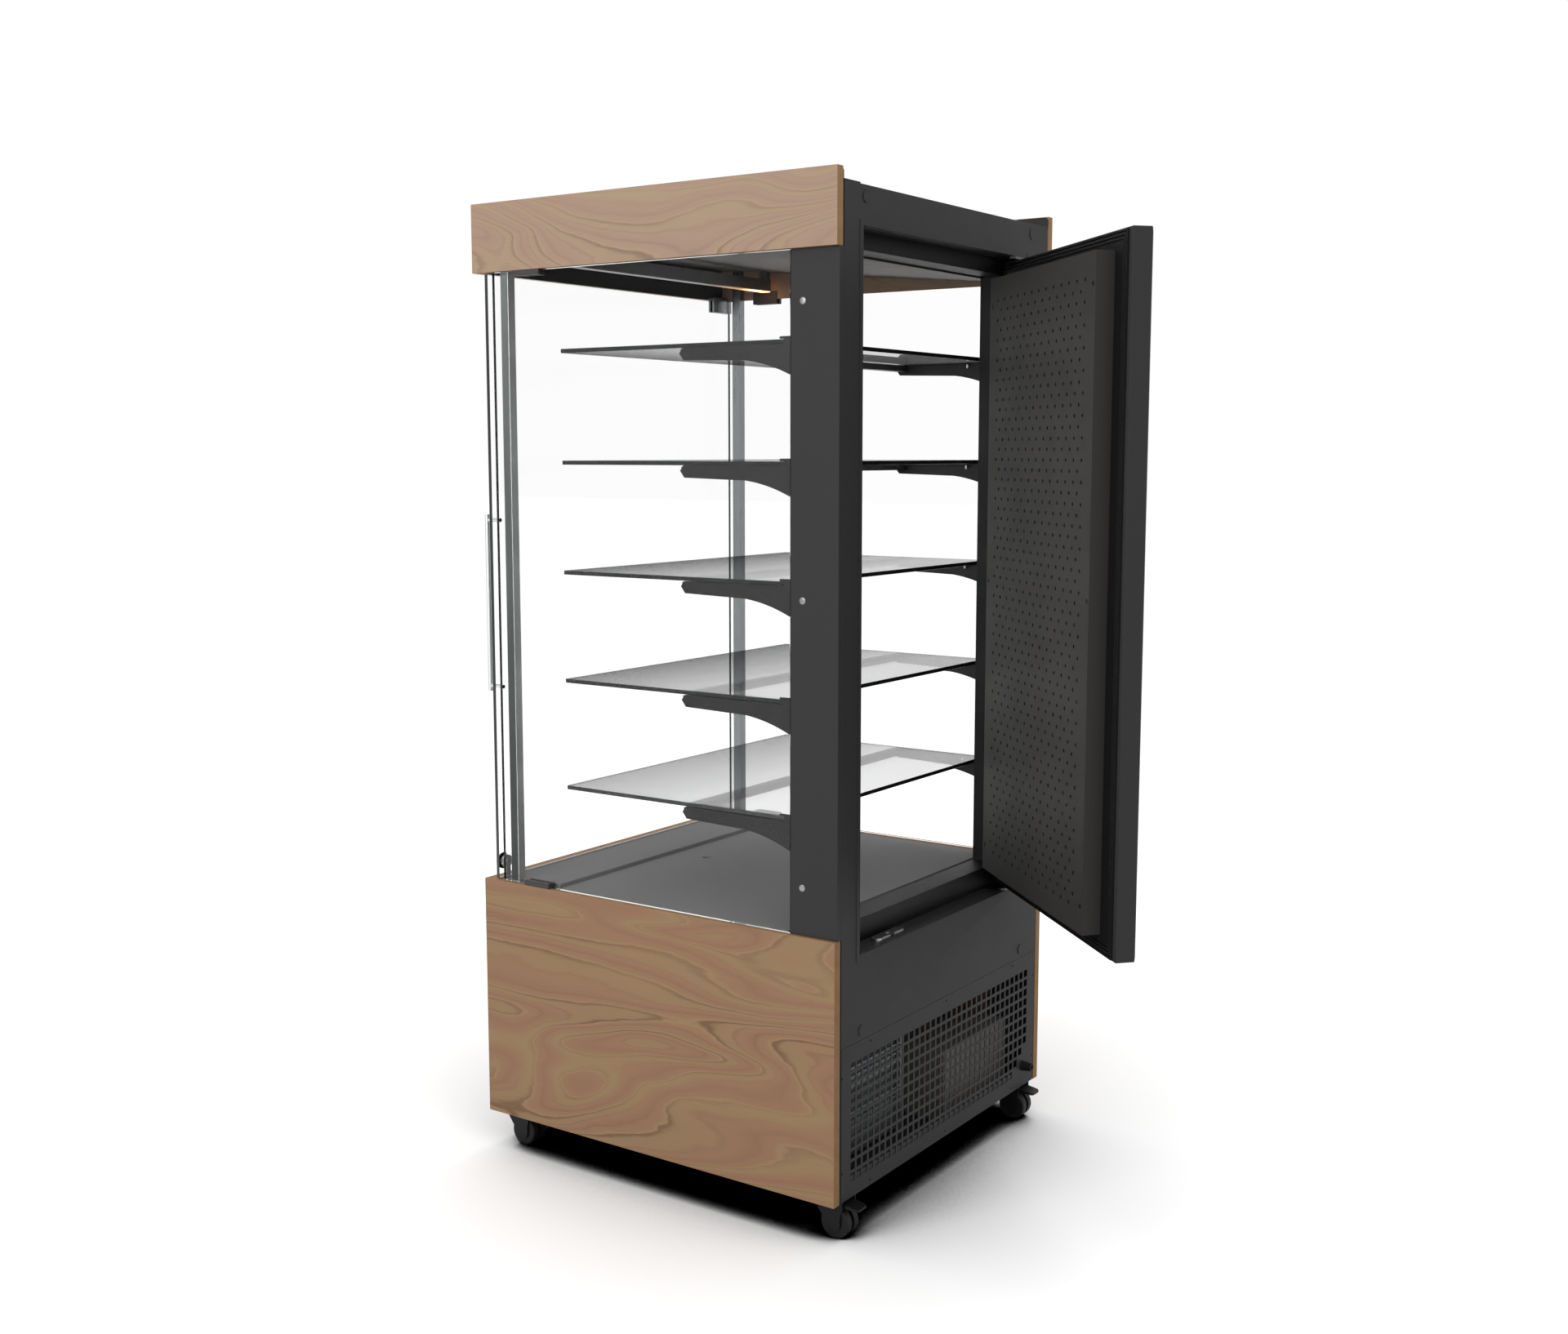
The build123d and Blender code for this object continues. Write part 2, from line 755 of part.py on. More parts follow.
# Small black pegs under the bracket flanges
with BuildPart() as shelf_pegs:
    for middle in shelf_middles:
        peg_top = middle + under_glass - bracket_sheet
        for peg_y in peg_places:
            for peg_x in (-shelf_half + peg_inset, shelf_half - peg_inset):
                with BuildSketch(Plane.XY.offset(peg_top - peg_drop), mode=Mode.PRIVATE) as peg:
                    with Locations((peg_x, peg_y)):
                        RegularPolygon(peg_across / 2, 6, major_radius=False)
                extrude(peg.sketch, amount=peg_drop)
save(shelf_pegs, "shelf_pegs")

# Lamp: an aluminium channel that hangs from the ceiling by its two ends, with a diffuser below it
channel = (lamp_front + diffuser_wall, lamp_rear - diffuser_wall)
with BuildPart() as lamp_profile:
    block((-lamp_half, lamp_half), (lamp_front, lamp_rear), (lamp_low, lamp_low + lamp_height))
    block((-lamp_half, lamp_half), channel, (lamp_low, lamp_low + diffuser_height), mode=Mode.SUBTRACT)
    for end in (-lamp_half, lamp_half - lamp_hanger):
        block((end, end + lamp_hanger), channel, (lamp_low + lamp_height, ceiling_at(channel[1])))
save(lamp_profile, "lamp_profile")

with BuildPart() as lamp_diffuser:
    block((-lamp_half, lamp_half), channel, (lamp_low - diffuser_proud, lamp_low + diffuser_height))
save(lamp_diffuser, "lamp_diffuser")

# Insulated tub with the evaporator under the deck, drained through a spout
with BuildPart() as evaporator_tub:
    block((-tub_half, tub_half), (tub_front, tub_rear), (tub_low, deck_top - deck_thick))
    rod(Plane.XY.offset(tub_low - drain_spout), (0, drain_y), drain_radius, drain_spout)
    rod(Plane.XY.offset(tub_low - drain_spout), (0, drain_y), drain_radius - drain_wall,
        deck_top - tub_low + drain_spout, mode=Mode.SUBTRACT)
    fillet(evaporator_tub.edges().filter_by(Axis.Z).filter_by(GeomType.LINE), tub_round)
save(evaporator_tub, "evaporator_tub")

# Cooling machine: finned condenser with its shroud and fan motor, compressor and control box
coil_x = (coil_left, coil_right)
fan_x = (coil_left + coil_right) / 2
fan_z = (coil_bottom + coil_top) / 2
shroud_front = coil_front - shroud_depth
fin_count = int((coil_top - coil_bottom - 2 * coil_edge) / fin_pitch)
with BuildPart() as condenser:
    block(coil_x, (coil_front, coil_rear), (coil_bottom, coil_top))
    with BuildSketch(Plane.XZ.offset(-coil_rear)):
        with Locations((fan_x, fan_z)):
            with GridLocations(0, fin_pitch, 1, fin_count):
                Rectangle(coil_right - coil_left - 2 * coil_edge, fin_pitch - fin)
    extrude(amount=fin_depth, mode=Mode.SUBTRACT)
    block(coil_x, (shroud_front, coil_front), (coil_bottom, coil_top))
    rod(facing_rear(shroud_front), (-fan_x, fan_z), fan_radius + fan_gap, shroud_depth, mode=Mode.SUBTRACT)
    block(coil_x, (shroud_front - motor_bar_depth, shroud_front), (fan_z - motor_bar, fan_z + motor_bar))
    rod(facing_rear(shroud_front - motor_length), (-fan_x, fan_z), motor_radius, motor_length)
    rod(facing_rear(shroud_front), (-fan_x, fan_z), fan_shaft, shroud_depth - fan_clear)
    for foot_x in (coil_left, coil_right - coil_foot):
        block((foot_x, foot_x + coil_foot), (coil_front, coil_rear), (tray_top, coil_bottom))
save(condenser, "condenser")

fan_front = shroud_front + fan_clear
blade_plane = facing_rear(fan_front)
with BuildPart() as condenser_fan:
    rod(blade_plane, (-fan_x, fan_z), fan_hub, fan_depth)
    for blade in range(fan_blades):
        angle = radians(360 / fan_blades * blade)
        root = Plane(
            origin=(fan_x, fan_front + fan_depth / 2, fan_z),
            x_dir=(0, 1, 0),
            z_dir=(cos(angle), 0, sin(angle)),
        )
        with BuildSketch(root.offset(fan_hub - blade_root)):
            Rectangle(blade_chord, blade_sheet, rotation=blade_pitch)
        extrude(amount=fan_radius - fan_hub + blade_root)
    rod(blade_plane, (-fan_x, fan_z), fan_shaft + running_fit, fan_depth, mode=Mode.SUBTRACT)
save(condenser_fan, "condenser_fan")

shell_low = tray_top + compressor_foot
with BuildPart() as compressor:
    rod(Plane.XY.offset(shell_low), (compressor_x, compressor_y), compressor_radius, compressor_height)
    chamfer(compressor.faces().sort_by(Axis.Z)[-1].edges(), compressor_bevel)
    block(
        (compressor_x - compressor_radius, compressor_x + compressor_radius),
        (compressor_y - compressor_radius, compressor_y + compressor_radius),
        (shell_low, shell_low + compressor_plate),
    )
    foot_reach = compressor_radius - foot_inset
    for foot_x in (compressor_x - foot_reach, compressor_x + foot_reach):
        for foot_y in (compressor_y - foot_reach, compressor_y + foot_reach):
            block(
                (foot_x - foot_half, foot_x + foot_half),
                (foot_y - foot_half, foot_y + foot_half),
                (tray_top, shell_low),
            )
save(compressor, "compressor")

with BuildPart() as control_box:
    block((box_left, box_right), (box_front, box_rear), (tray_top, tray_top + box_height))
    chamfer(control_box.faces().sort_by(Axis.Z)[-1].edges(), box_edge)
save(control_box, "control_box")

rail_x = (2 * sheet - inner_x, inner_x - 2 * sheet)
rail_top = tray_top + rail_height
with BuildPart() as machine_rail:
    block(rail_x, (rail_front, rail_front + sheet), (tray_top, rail_top))
    block(rail_x, (rail_front, rail_front + rail_flange), (rail_top - sheet, rail_top))
save(machine_rail, "machine_rail")

# Strike on the sill: two rounded ends with an open slot between them
keeper_x = hinge_x + latch_u
slot_middle = hinge_y + latch_v
with BuildPart() as sill_keeper:
    with BuildSketch(Plane.XY.offset(rabbet_low)):
        with Locations((keeper_x, (keeper_front + keeper_rear) / 2)):
            SlotOverall(2 * keeper_half, keeper_rear - keeper_front)
        with Locations((keeper_x, slot_middle)):
            Circle(keeper_slot / 2, mode=Mode.SUBTRACT)
        with Locations((keeper_x, (slot_middle + rear_y) / 2)):
            Rectangle(keeper_slot, rear_y - slot_middle, mode=Mode.SUBTRACT)
    extrude(amount=keeper_height)
save(sill_keeper, "sill_keeper")

# Front glass door: its pane, clamps, pull handle and lock, and the fixed pivots it turns on
pane_rear = door_glass_front + glass
pane_middle = door_glass_front + glass / 2
notch_right = front_pivot_x + clamp_gap + front_pin + notch_clear
notch_high = pin_reach + notch_rise
with BuildPart() as front_door_glass:
    block((clamp_left, side_glass_outer), (door_glass_front, pane_rear), (door_low, door_high))
    for notch in ((door_low, door_low + notch_high), (door_high - notch_high, door_high)):
        block((clamp_left, notch_right), (door_glass_front, pane_rear), notch, mode=Mode.SUBTRACT)
    rod(facing_rear(door_glass_front), (-lock_x, lock_z), lock_radius, glass, mode=Mode.SUBTRACT)
save(front_door_glass, "front_door_glass")

clamp_top = header_bottom - clamp_gap
clamp_bottom = board_top + clamp_gap
clamp_span = (pane_middle - clamp_half, pane_middle + clamp_half)
with BuildPart() as door_clamps:
    for low, high in ((clamp_bottom, clamp_bottom + clamp_height), (clamp_top - clamp_height, clamp_top)):
        block((clamp_left, clamp_right), clamp_span, (low, high))
    block((notch_right, clamp_right), (door_glass_front, pane_rear), (door_low, door_high),
          mode=Mode.SUBTRACT)
    block((clamp_left, notch_right), (door_glass_front, pane_rear),
          (door_low + notch_high, door_high - notch_high), mode=Mode.SUBTRACT)
    for low in (clamp_bottom, clamp_top - pin_reach - pin_end):
        rod(Plane.XY.offset(low), (front_pivot_x, pane_middle), front_pin + running_fit,
            pin_reach + pin_end, mode=Mode.SUBTRACT)
save(door_clamps, "door_clamps")

with BuildPart() as front_pivots:
    block((-inner_x, clamp_right), (inner_front, clamp_span[1]), (deck_top, clamp_bottom - clamp_gap))
    rod(Plane.XY.offset(deck_top), (front_pivot_x, pane_middle), front_pin,
        clamp_bottom - deck_top + pin_reach)
    block((-inner_x, clamp_right), (inner_front, clamp_span[1]), (header_bottom, header_bottom + pivot_plate))
    rod(Plane.XY.offset(clamp_top - pin_reach), (front_pivot_x, pane_middle), front_pin,
        header_bottom - clamp_top + pin_reach)
save(front_pivots, "front_pivots")

with BuildPart() as pull_handle:
    rod(Plane.XY.offset(pull_low), (bar_x, bar_y), bar_radius, pull_high - pull_low)
    for standoff_z in (pull_low + standoff_inset, pull_high - standoff_inset):
        rod(facing_rear(bar_y), (-bar_x, standoff_z), standoff_radius, door_glass_front - bar_y)
save(pull_handle, "pull_handle")

cam_rear = pane_rear + lock_nut_thick
with BuildPart() as lock_barrel:
    rod(facing_rear(door_glass_front - lock_face), (-lock_x, lock_z), lock_flange, lock_face)
    rod(facing_rear(door_glass_front), (-lock_x, lock_z), lock_radius, glass)
    rod(facing_rear(pane_rear), (-lock_x, lock_z), lock_nut, lock_nut_thick)
    rod(facing_rear(cam_rear), (-lock_x, lock_z), front_pin, cam_thick)
save(lock_barrel, "lock_barrel")

with BuildPart() as lock_cam:
    with BuildSketch(facing_rear(cam_rear)):
        with Locations((-lock_x, lock_z - cam_length / 2)):
            Rectangle(cam_width, cam_length)
        with Locations((-lock_x, lock_z), (-lock_x, lock_z - cam_length)):
            Circle(cam_width / 2)
        with Locations((-lock_x, lock_z)):
            Circle(front_pin + running_fit, mode=Mode.SUBTRACT)
    extrude(amount=cam_thick)
save(lock_cam, "lock_cam")

# Service door, drawn in the plane of the door as it stands open
latch_low = slab_low - latch_hang
with BuildPart() as service_door:
    block((slab_left + hinge_block, slab_right), (slab_inner, slab_outer), (slab_low, slab_high), door_plane)
    outer_face = service_door.faces().sort_by(Axis((hinge_x, hinge_y, 0), door_plane.y_dir))[-1]
    bevelled = outer_face.edges().sort_by(Axis((hinge_x, hinge_y, 0), door_plane.x_dir))[1:]
    chamfer(bevelled, length=chamfer_face, length2=chamfer_deep, reference=outer_face)
    block((slab_left, slab_left + hinge_block), (slab_inner, slab_outer), (slab_low, slab_high), door_plane)
    hinge_edges = service_door.edges().filter_by(Axis.Z)
    hinge_edges = hinge_edges.sort_by(Axis((hinge_x, hinge_y, 0), door_plane.x_dir))[:2]
    outer_edge = hinge_edges.sort_by(Axis((hinge_x, hinge_y, 0), door_plane.y_dir))[-1]
    fillet(outer_edge, hinge_round)
    for low in (slab_low, slab_high - pin_depth):
        rod(door_plane.offset(low), (0, 0), hinge_pin + running_fit, pin_depth, mode=Mode.SUBTRACT)
    rod(door_plane.offset(slab_low), (latch_u, latch_v), latch_radius + running_fit,
        latch_length - latch_hang + latch_travel + latch_room, mode=Mode.SUBTRACT)
save(service_door, "service_door")

seal_face = slab_inner - gasket_thick
with BuildPart() as door_gasket:
    block((gasket_hinge[0], gasket_free[1]), (seal_face, slab_inner), (gasket_low[0], gasket_high[1]),
          door_plane)
    block((gasket_hinge[1], gasket_free[0]), (seal_face, slab_inner), (gasket_low[1], gasket_high[0]),
          door_plane, mode=Mode.SUBTRACT)
save(door_gasket, "door_gasket")

liner_face = slab_inner - liner_thick
with BuildPart() as door_liner:
    block(
        (gasket_hinge[1] + slide_fit, gasket_free[0] - slide_fit),
        (liner_face, slab_inner),
        (gasket_low[1] + slide_fit, gasket_high[0] - slide_fit),
        door_plane,
    )
save(door_liner, "door_liner")

duct_face = slab_inner - duct_deep
with BuildPart() as duct_panel:
    block((duct_left, duct_right), (duct_face, liner_face), (duct_low, duct_high), door_plane)
    block((duct_left + duct_sheet, duct_right - duct_sheet), (duct_face + duct_sheet, liner_face),
          (duct_low, duct_high), door_plane, mode=Mode.SUBTRACT)
save(duct_panel, "duct_panel")

with BuildPart() as latch_pin:
    rod(door_plane.offset(latch_low), (latch_u, latch_v), latch_radius, latch_length)
save(latch_pin, "latch_pin")

# Fixed hinge plates in the rabbet with the pins that the service door turns on
with BuildPart() as hinge_plates:
    for low, high in ((rabbet_low, rabbet_low + hinge_plate), (rabbet_high - hinge_plate, rabbet_high)):
        block((rabbet_left, rabbet_left + hinge_plate_width), (rabbet_y, rear_y), (low, high))
    fillet(hinge_plates.edges().filter_by(Axis.Z).sort_by(Axis.X)[-4:], hinge_plate_round)
    rod(Plane.XY.offset(rabbet_low), (hinge_x, hinge_y), hinge_pin,
        slab_low - rabbet_low + pin_depth - pin_end)
    rod(Plane.XY.offset(slab_high - pin_depth + pin_end), (hinge_x, hinge_y), hinge_pin,
        rabbet_high - slab_high + pin_depth - pin_end)
save(hinge_plates, "hinge_plates")
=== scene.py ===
# %% [markdown]
# # A refrigerated pastry display case
# The solids of the case come from its CAD model and are already in the right place, in metres. This lesson
# gives them finishes, adds what is too fine for solids, such as screws and perforations, and sets up the
# camera and the light. We start by loading the frame.

# %% Load the frame
import bpy
import bmesh
import json
from math import cos, pi, radians, sin
from mathutils import Matrix, Vector

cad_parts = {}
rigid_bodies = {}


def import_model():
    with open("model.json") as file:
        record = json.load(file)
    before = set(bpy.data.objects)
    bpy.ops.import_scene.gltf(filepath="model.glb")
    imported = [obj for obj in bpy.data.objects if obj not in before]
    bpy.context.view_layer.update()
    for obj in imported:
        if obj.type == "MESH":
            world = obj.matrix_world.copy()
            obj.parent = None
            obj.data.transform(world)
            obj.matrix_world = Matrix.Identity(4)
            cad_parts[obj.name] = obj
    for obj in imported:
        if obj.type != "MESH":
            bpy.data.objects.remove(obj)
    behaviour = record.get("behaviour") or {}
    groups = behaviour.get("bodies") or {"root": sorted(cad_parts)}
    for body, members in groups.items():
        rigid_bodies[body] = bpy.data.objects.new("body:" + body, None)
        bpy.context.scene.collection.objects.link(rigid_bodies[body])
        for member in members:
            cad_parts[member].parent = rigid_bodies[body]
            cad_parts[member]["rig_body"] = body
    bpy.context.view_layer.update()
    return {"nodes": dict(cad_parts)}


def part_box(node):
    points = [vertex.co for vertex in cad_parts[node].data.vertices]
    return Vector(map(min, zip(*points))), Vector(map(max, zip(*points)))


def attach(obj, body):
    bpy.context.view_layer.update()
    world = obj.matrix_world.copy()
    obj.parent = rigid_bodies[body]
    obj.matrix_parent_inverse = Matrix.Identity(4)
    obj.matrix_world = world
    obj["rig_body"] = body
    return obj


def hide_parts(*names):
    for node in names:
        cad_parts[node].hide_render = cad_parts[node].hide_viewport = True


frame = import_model()
nodes = frame["nodes"]

# %% [markdown]
# The case isn't centred on the origin, because its service door stands open behind it. The two lower side
# boards tell us where the middle of the cabinet is, and every place below is measured from there.

# %% The middle of the cabinet
low_board, high_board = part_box("lower_side_panels")
middle_y = (low_board.y + high_board.y) / 2
mm = 0.001
base_lift = round(low_board.z / mm)
print("middle of the cabinet at y =", round(middle_y, 4), "and its boards start", base_lift, "mm above the floor")


def place(x, y, z):
    """A point given in millimetres from the middle of the cabinet and from the floor."""
    return Vector((x * mm, middle_y + y * mm, z * mm))


# %% [markdown]
# ## Camera
# The photograph's camera was worked out from the straight edges of the boards. It stands at eye height off the
# rear corner and looks slightly down. A lens is given by its focal length against a 36 mm wide sensor.

# %% Camera
eye = place(2983.3, 2089.0, 1458.0)
yaw, pitch = radians(-145.465), radians(-7.028)
looking = Vector((cos(pitch) * cos(yaw), cos(pitch) * sin(yaw), sin(pitch)))
camera_data = bpy.data.cameras.new("photo_camera")
camera_data.lens = 39.957
camera_data.sensor_width = 36.0
camera_data.sensor_fit = "HORIZONTAL"
camera_data.clip_end = 200
camera = bpy.data.objects.new("photo_camera", camera_data)
camera.location = eye
camera.rotation_euler = looking.to_track_quat("-Z", "Y").to_euler()
bpy.context.scene.collection.objects.link(camera)
bpy.context.scene.camera = camera
bpy.context.scene.view_settings.view_transform = "Standard"
print("camera at", tuple(round(c, 3) for c in eye))

# %% [markdown]
# ## Light
# Plain soft studio light: the world lights everything evenly, and three large lamps give the boards and the door
# a little shape. Rays that come from the camera, from gloss or through glass see a white background instead.
# The floor is matt paper. For rays that see it directly its paper is brighter, so that open floor reads as white.
# A painted shadow turns it grey beside the case and black under it, by the share of the sky that each place can see.

# %% Colours and a helper for nodes


def srgb(code):
    """A colour written like a web page's, as the linear values that Blender works with."""
    values = [int(code[i:i + 2], 16) / 255 for i in (1, 3, 5)]
    return tuple(v / 12.92 if v < 0.04045 else ((v + 0.055) / 1.055) ** 2.4 for v in values) + (1.0,)


def add_node(tree, kind, **inputs):
    """Adds a node and sets its sockets by name, or by number where the name is written as _0."""
    node = tree.nodes.new(kind)
    for name, value in inputs.items():
        key = int(name[1:]) if name[0] == "_" else name.replace("__", " ")
        socket = node.inputs[key]
        if isinstance(value, bpy.types.NodeSocket):
            tree.links.new(value, socket)
        else:
            socket.default_value = value
    return node


def seen_directly(tree):
    """One where a ray comes from the camera, from a glossy surface or through glass."""
    path = add_node(tree, "ShaderNodeLightPath")
    first = add_node(tree, "ShaderNodeMath", _0=path.outputs["Is Camera Ray"], _1=path.outputs["Is Glossy Ray"])
    first.operation = "MAXIMUM"
    both = add_node(tree, "ShaderNodeMath", _0=first.outputs[0], _1=path.outputs["Is Transmission Ray"])
    both.operation = "MAXIMUM"
    return both.outputs[0]


# %% Helpers for colours that vary


def stretched(group, vector, stretch):
    """Coordinates multiplied by a stretch, so that a noise becomes lines."""
    node = add_node(group, "ShaderNodeVectorMath", _0=vector, _1=stretch)
    node.operation = "MULTIPLY"
    return node.outputs[0]


def ramp(group, factor, stops):
    """A colour ramp given as (position, grey) pairs."""
    node = add_node(group, "ShaderNodeValToRGB", Fac=factor)
    band = node.color_ramp
    while len(band.elements) < len(stops):
        band.elements.new(0.5)
    for element, (position, grey) in zip(band.elements, stops):
        element.position = position
        element.color = (grey, grey, grey, 1)
    return node.outputs[0]


# %% World and lamps
world = bpy.data.worlds.new("studio")
bpy.context.scene.world = world
world.use_nodes = True
sky = world.node_tree
sky.nodes.clear()
room = add_node(sky, "ShaderNodeBackground", Color=(1, 1, 1, 1), Strength=0.70)
backdrop = add_node(sky, "ShaderNodeBackground", Color=(1, 1, 1, 1), Strength=1.0)
chosen = add_node(sky, "ShaderNodeMixShader", _0=seen_directly(sky), _1=room.outputs[0], _2=backdrop.outputs[0])
add_node(sky, "ShaderNodeOutputWorld", Surface=chosen.outputs[0])


def soft_lamp(name, position, target, size, watts):
    """A large square lamp that points at a target."""
    data = bpy.data.lights.new(name, "AREA")
    data.shape, data.size, data.energy = "SQUARE", size, watts
    lamp = bpy.data.objects.new(name, data)
    lamp.location = position
    lamp.rotation_euler = (target - position).to_track_quat("-Z", "Y").to_euler()
    bpy.context.scene.collection.objects.link(lamp)


heart = place(0, 0, 1000)
soft_lamp("key_lamp", place(2600, 3400, 3600), heart, 2.4, 30)
soft_lamp("side_lamp", place(4200, -600, 2400), heart, 2.2, 70)
soft_lamp("top_lamp", place(-600, 200, 4300), heart, 2.6, 45)
print("lamps:", len(bpy.data.lights))

# %% Floor
floor_mesh = bpy.data.meshes.new("floor")
floor_reach = 40
corners = [(x * floor_reach, y * floor_reach, 0) for x, y in ((-1, -1), (1, -1), (1, 1), (-1, 1))]
floor_mesh.from_pydata(corners, [], [(0, 1, 2, 3)])
floor = bpy.data.objects.new("floor", floor_mesh)
bpy.context.scene.collection.objects.link(floor)
paper = bpy.data.materials.new("floor_with_painted_shadow")
paper.use_nodes = True
tree = paper.node_tree
tree.nodes.clear()
open_sky = add_node(tree, "ShaderNodeAmbientOcclusion", Distance=3.0)
open_sky.samples = 24
grey_by_sky = [(0.37, 0.0), (0.46, 0.36), (0.52, 0.62), (0.66, 0.73), (0.84, 0.79), (0.99, 1.0)]
paper_gain, bounce_grey = 1.5, 0.35
# Painted shadow: the paper's colour darkens where less of the sky is open, grey beside the case and black under it.
painted_floor_shadow = ramp(tree, open_sky.outputs["AO"], grey_by_sky)
paper_with_painted_shadow = stretched(tree, painted_floor_shadow, (paper_gain, paper_gain, paper_gain))
seen = add_node(tree, "ShaderNodeBsdfDiffuse", Color=paper_with_painted_shadow)
unseen = add_node(tree, "ShaderNodeBsdfDiffuse", Color=(bounce_grey, bounce_grey, bounce_grey, 1.0))
both = add_node(tree, "ShaderNodeMixShader", _0=seen_directly(tree), _1=unseen.outputs[0], _2=seen.outputs[0])
add_node(tree, "ShaderNodeOutputMaterial", Surface=both.outputs[0])
floor_mesh.materials.append(paper)

# %% [markdown]
# ## Shared effects
# Several finishes need the same thing: the figure of a sawn board, fine brush lines or the orange-peel skin of
# powder coat. Each is built once as a node group with named sockets and used with other values. First come a few
# helpers that keep the groups short.

# %% Helpers for node groups


def new_group(name, inputs, outputs):
    """An empty shader node group with its sockets; an input is (name, kind, default)."""
    group = bpy.data.node_groups.new(name, "ShaderNodeTree")
    kinds = {"float": "NodeSocketFloat", "color": "NodeSocketColor", "vector": "NodeSocketVector"}
    for label, kind, default in inputs:
        socket = group.interface.new_socket(name=label, in_out="INPUT", socket_type=kinds[kind])
        socket.default_value = default
    for label, kind in outputs:
        group.interface.new_socket(name=label, in_out="OUTPUT", socket_type=kinds[kind])
    start = group.nodes.new("NodeGroupInput")
    end = group.nodes.new("NodeGroupOutput")
    return group, start.outputs, end.inputs


def math(group, operation, first, second=0.0):
    """One step of arithmetic on two values or sockets."""
    node = add_node(group, "ShaderNodeMath", _0=first, _1=second)
    node.operation = operation
    return node.outputs[0]


def noise(group, vector, scale, detail=2.0, roughness=0.5, distortion=0.0):
    """A value between 0 and 1 that wanders from place to place."""
    node = add_node(group, "ShaderNodeTexNoise", Vector=vector, Scale=scale, Detail=detail, Roughness=roughness,
                    Distortion=distortion)
    return node.outputs[0]


def blend_colors(group, factor, first, second, kind="MIX"):
    """Two colours mixed by a factor, or combined in another way."""
    node = add_node(group, "ShaderNodeMix")
    node.data_type = "RGBA"
    node.blend_type = kind
    for socket, value in ((node.inputs[0], factor), (node.inputs[6], first), (node.inputs[7], second)):
        if isinstance(value, bpy.types.NodeSocket):
            group.links.new(value, socket)
        else:
            socket.default_value = value
    return node.outputs[2]


# %% [markdown]
# A sawn board shows its growth rings as contour lines: long loops where the saw grazed a ring and close strands
# where it cut them. Noise that is stretched along the board, multiplied and cut into repeating bands gives the
# same picture. Every band runs from a reddish to a greenish brown and ends in a thin dark line, with finer lines
# between. Where a board was cut across, it shows plain end grain instead.

# %% Wood figure
wood_figure, wood_in, wood_out = new_group(
    "wood_figure",
    [("Vector", "vector", (0, 0, 0)), ("Stretch", "vector", (1, 1, 1)), ("Early", "color", (1, 1, 1, 1)),
     ("Late", "color", (1, 1, 1, 1)), ("Line", "color", (0, 0, 0, 1)), ("End", "color", (0, 0, 0, 1)),
     ("End grain", "float", 0.0)],
    [("Color", "color"), ("Roughness", "float"), ("Height", "float")],
)
along = stretched(wood_figure, wood_in["Vector"], wood_in["Stretch"])
hills = noise(wood_figure, along, 1.5, 1.8, 0.45, 0.5)
wobble = noise(wood_figure, along, 12.0, 3.0, 0.6)
parts = add_node(wood_figure, "ShaderNodeSeparateXYZ", Vector=wood_in["Vector"])
rings_per_hill, rings_per_metre, ring_wobble, fine_lines = 15.0, 5.0, 0.30, 3.0
rings = math(wood_figure, "MULTIPLY", hills, rings_per_hill)
rings = math(wood_figure, "ADD", rings, math(wood_figure, "MULTIPLY", parts.outputs["Z"], rings_per_metre))
rings = math(wood_figure, "ADD", rings, math(wood_figure, "MULTIPLY", wobble, ring_wobble))
place_in_ring = math(wood_figure, "FRACT", rings)
place_in_fine = math(wood_figure, "FRACT", math(wood_figure, "MULTIPLY", rings, fine_lines))
late = ramp(wood_figure, place_in_ring,
            [(0.0, 0.3), (0.05, 0.9), (0.12, 0.3), (0.40, 0.0), (0.72, 0.6), (0.90, 1.0)])
line = ramp(wood_figure, place_in_ring, [(0.0, 1.0), (0.04, 0.0), (0.70, 0.0), (0.90, 0.3), (0.97, 1.0)])
fine = ramp(wood_figure, place_in_fine, [(0.0, 0.35), (0.15, 0.0), (0.75, 0.0), (0.96, 0.4)])
strength = ramp(wood_figure, noise(wood_figure, along, 2.3, 1.0), [(0.38, 0.15), (0.66, 1.0)])
line = math(wood_figure, "MAXIMUM", line, fine)
fibre_at = stretched(wood_figure, along, (6.0, 1.0, 6.0))
fibres = noise(wood_figure, fibre_at, 24.0, 4.0, 0.65)
pores = noise(wood_figure, fibre_at, 70.0, 2.0, 0.6)
face = blend_colors(wood_figure, late, wood_in["Early"], wood_in["Late"])
face = blend_colors(wood_figure, math(wood_figure, "MULTIPLY", line, strength), face, wood_in["Line"])
streak = math(wood_figure, "ADD", math(wood_figure, "MULTIPLY", fibres, 0.14), 0.93)
face = blend_colors(wood_figure, 1.0, face, streak, "MULTIPLY")
rough_cut = noise(wood_figure, wood_in["Vector"], 38.0, 5.0)
sawn = math(wood_figure, "ADD", math(wood_figure, "MULTIPLY", rough_cut, 0.5), 0.75)
cut = blend_colors(wood_figure, 1.0, wood_in["End"], sawn, "MULTIPLY")
wood_figure.links.new(blend_colors(wood_figure, wood_in["End grain"], face, cut), wood_out["Color"])
sheen = math(wood_figure, "ADD", math(wood_figure, "MULTIPLY", pores, -0.12), 0.62)
wood_figure.links.new(sheen, wood_out["Roughness"])
relief = math(wood_figure, "ADD", pores, math(wood_figure, "MULTIPLY", fibres, 0.5))
wood_figure.links.new(relief, wood_out["Height"])
print("growth rings drawn from noise")

# %% [markdown]
# Brushed metal has hair-fine scratches along one direction and faint clouds of tone. Powder coat has a fine
# pebble, a slow drift of tone and faint handling marks, which show in the gloss and not in the colour.

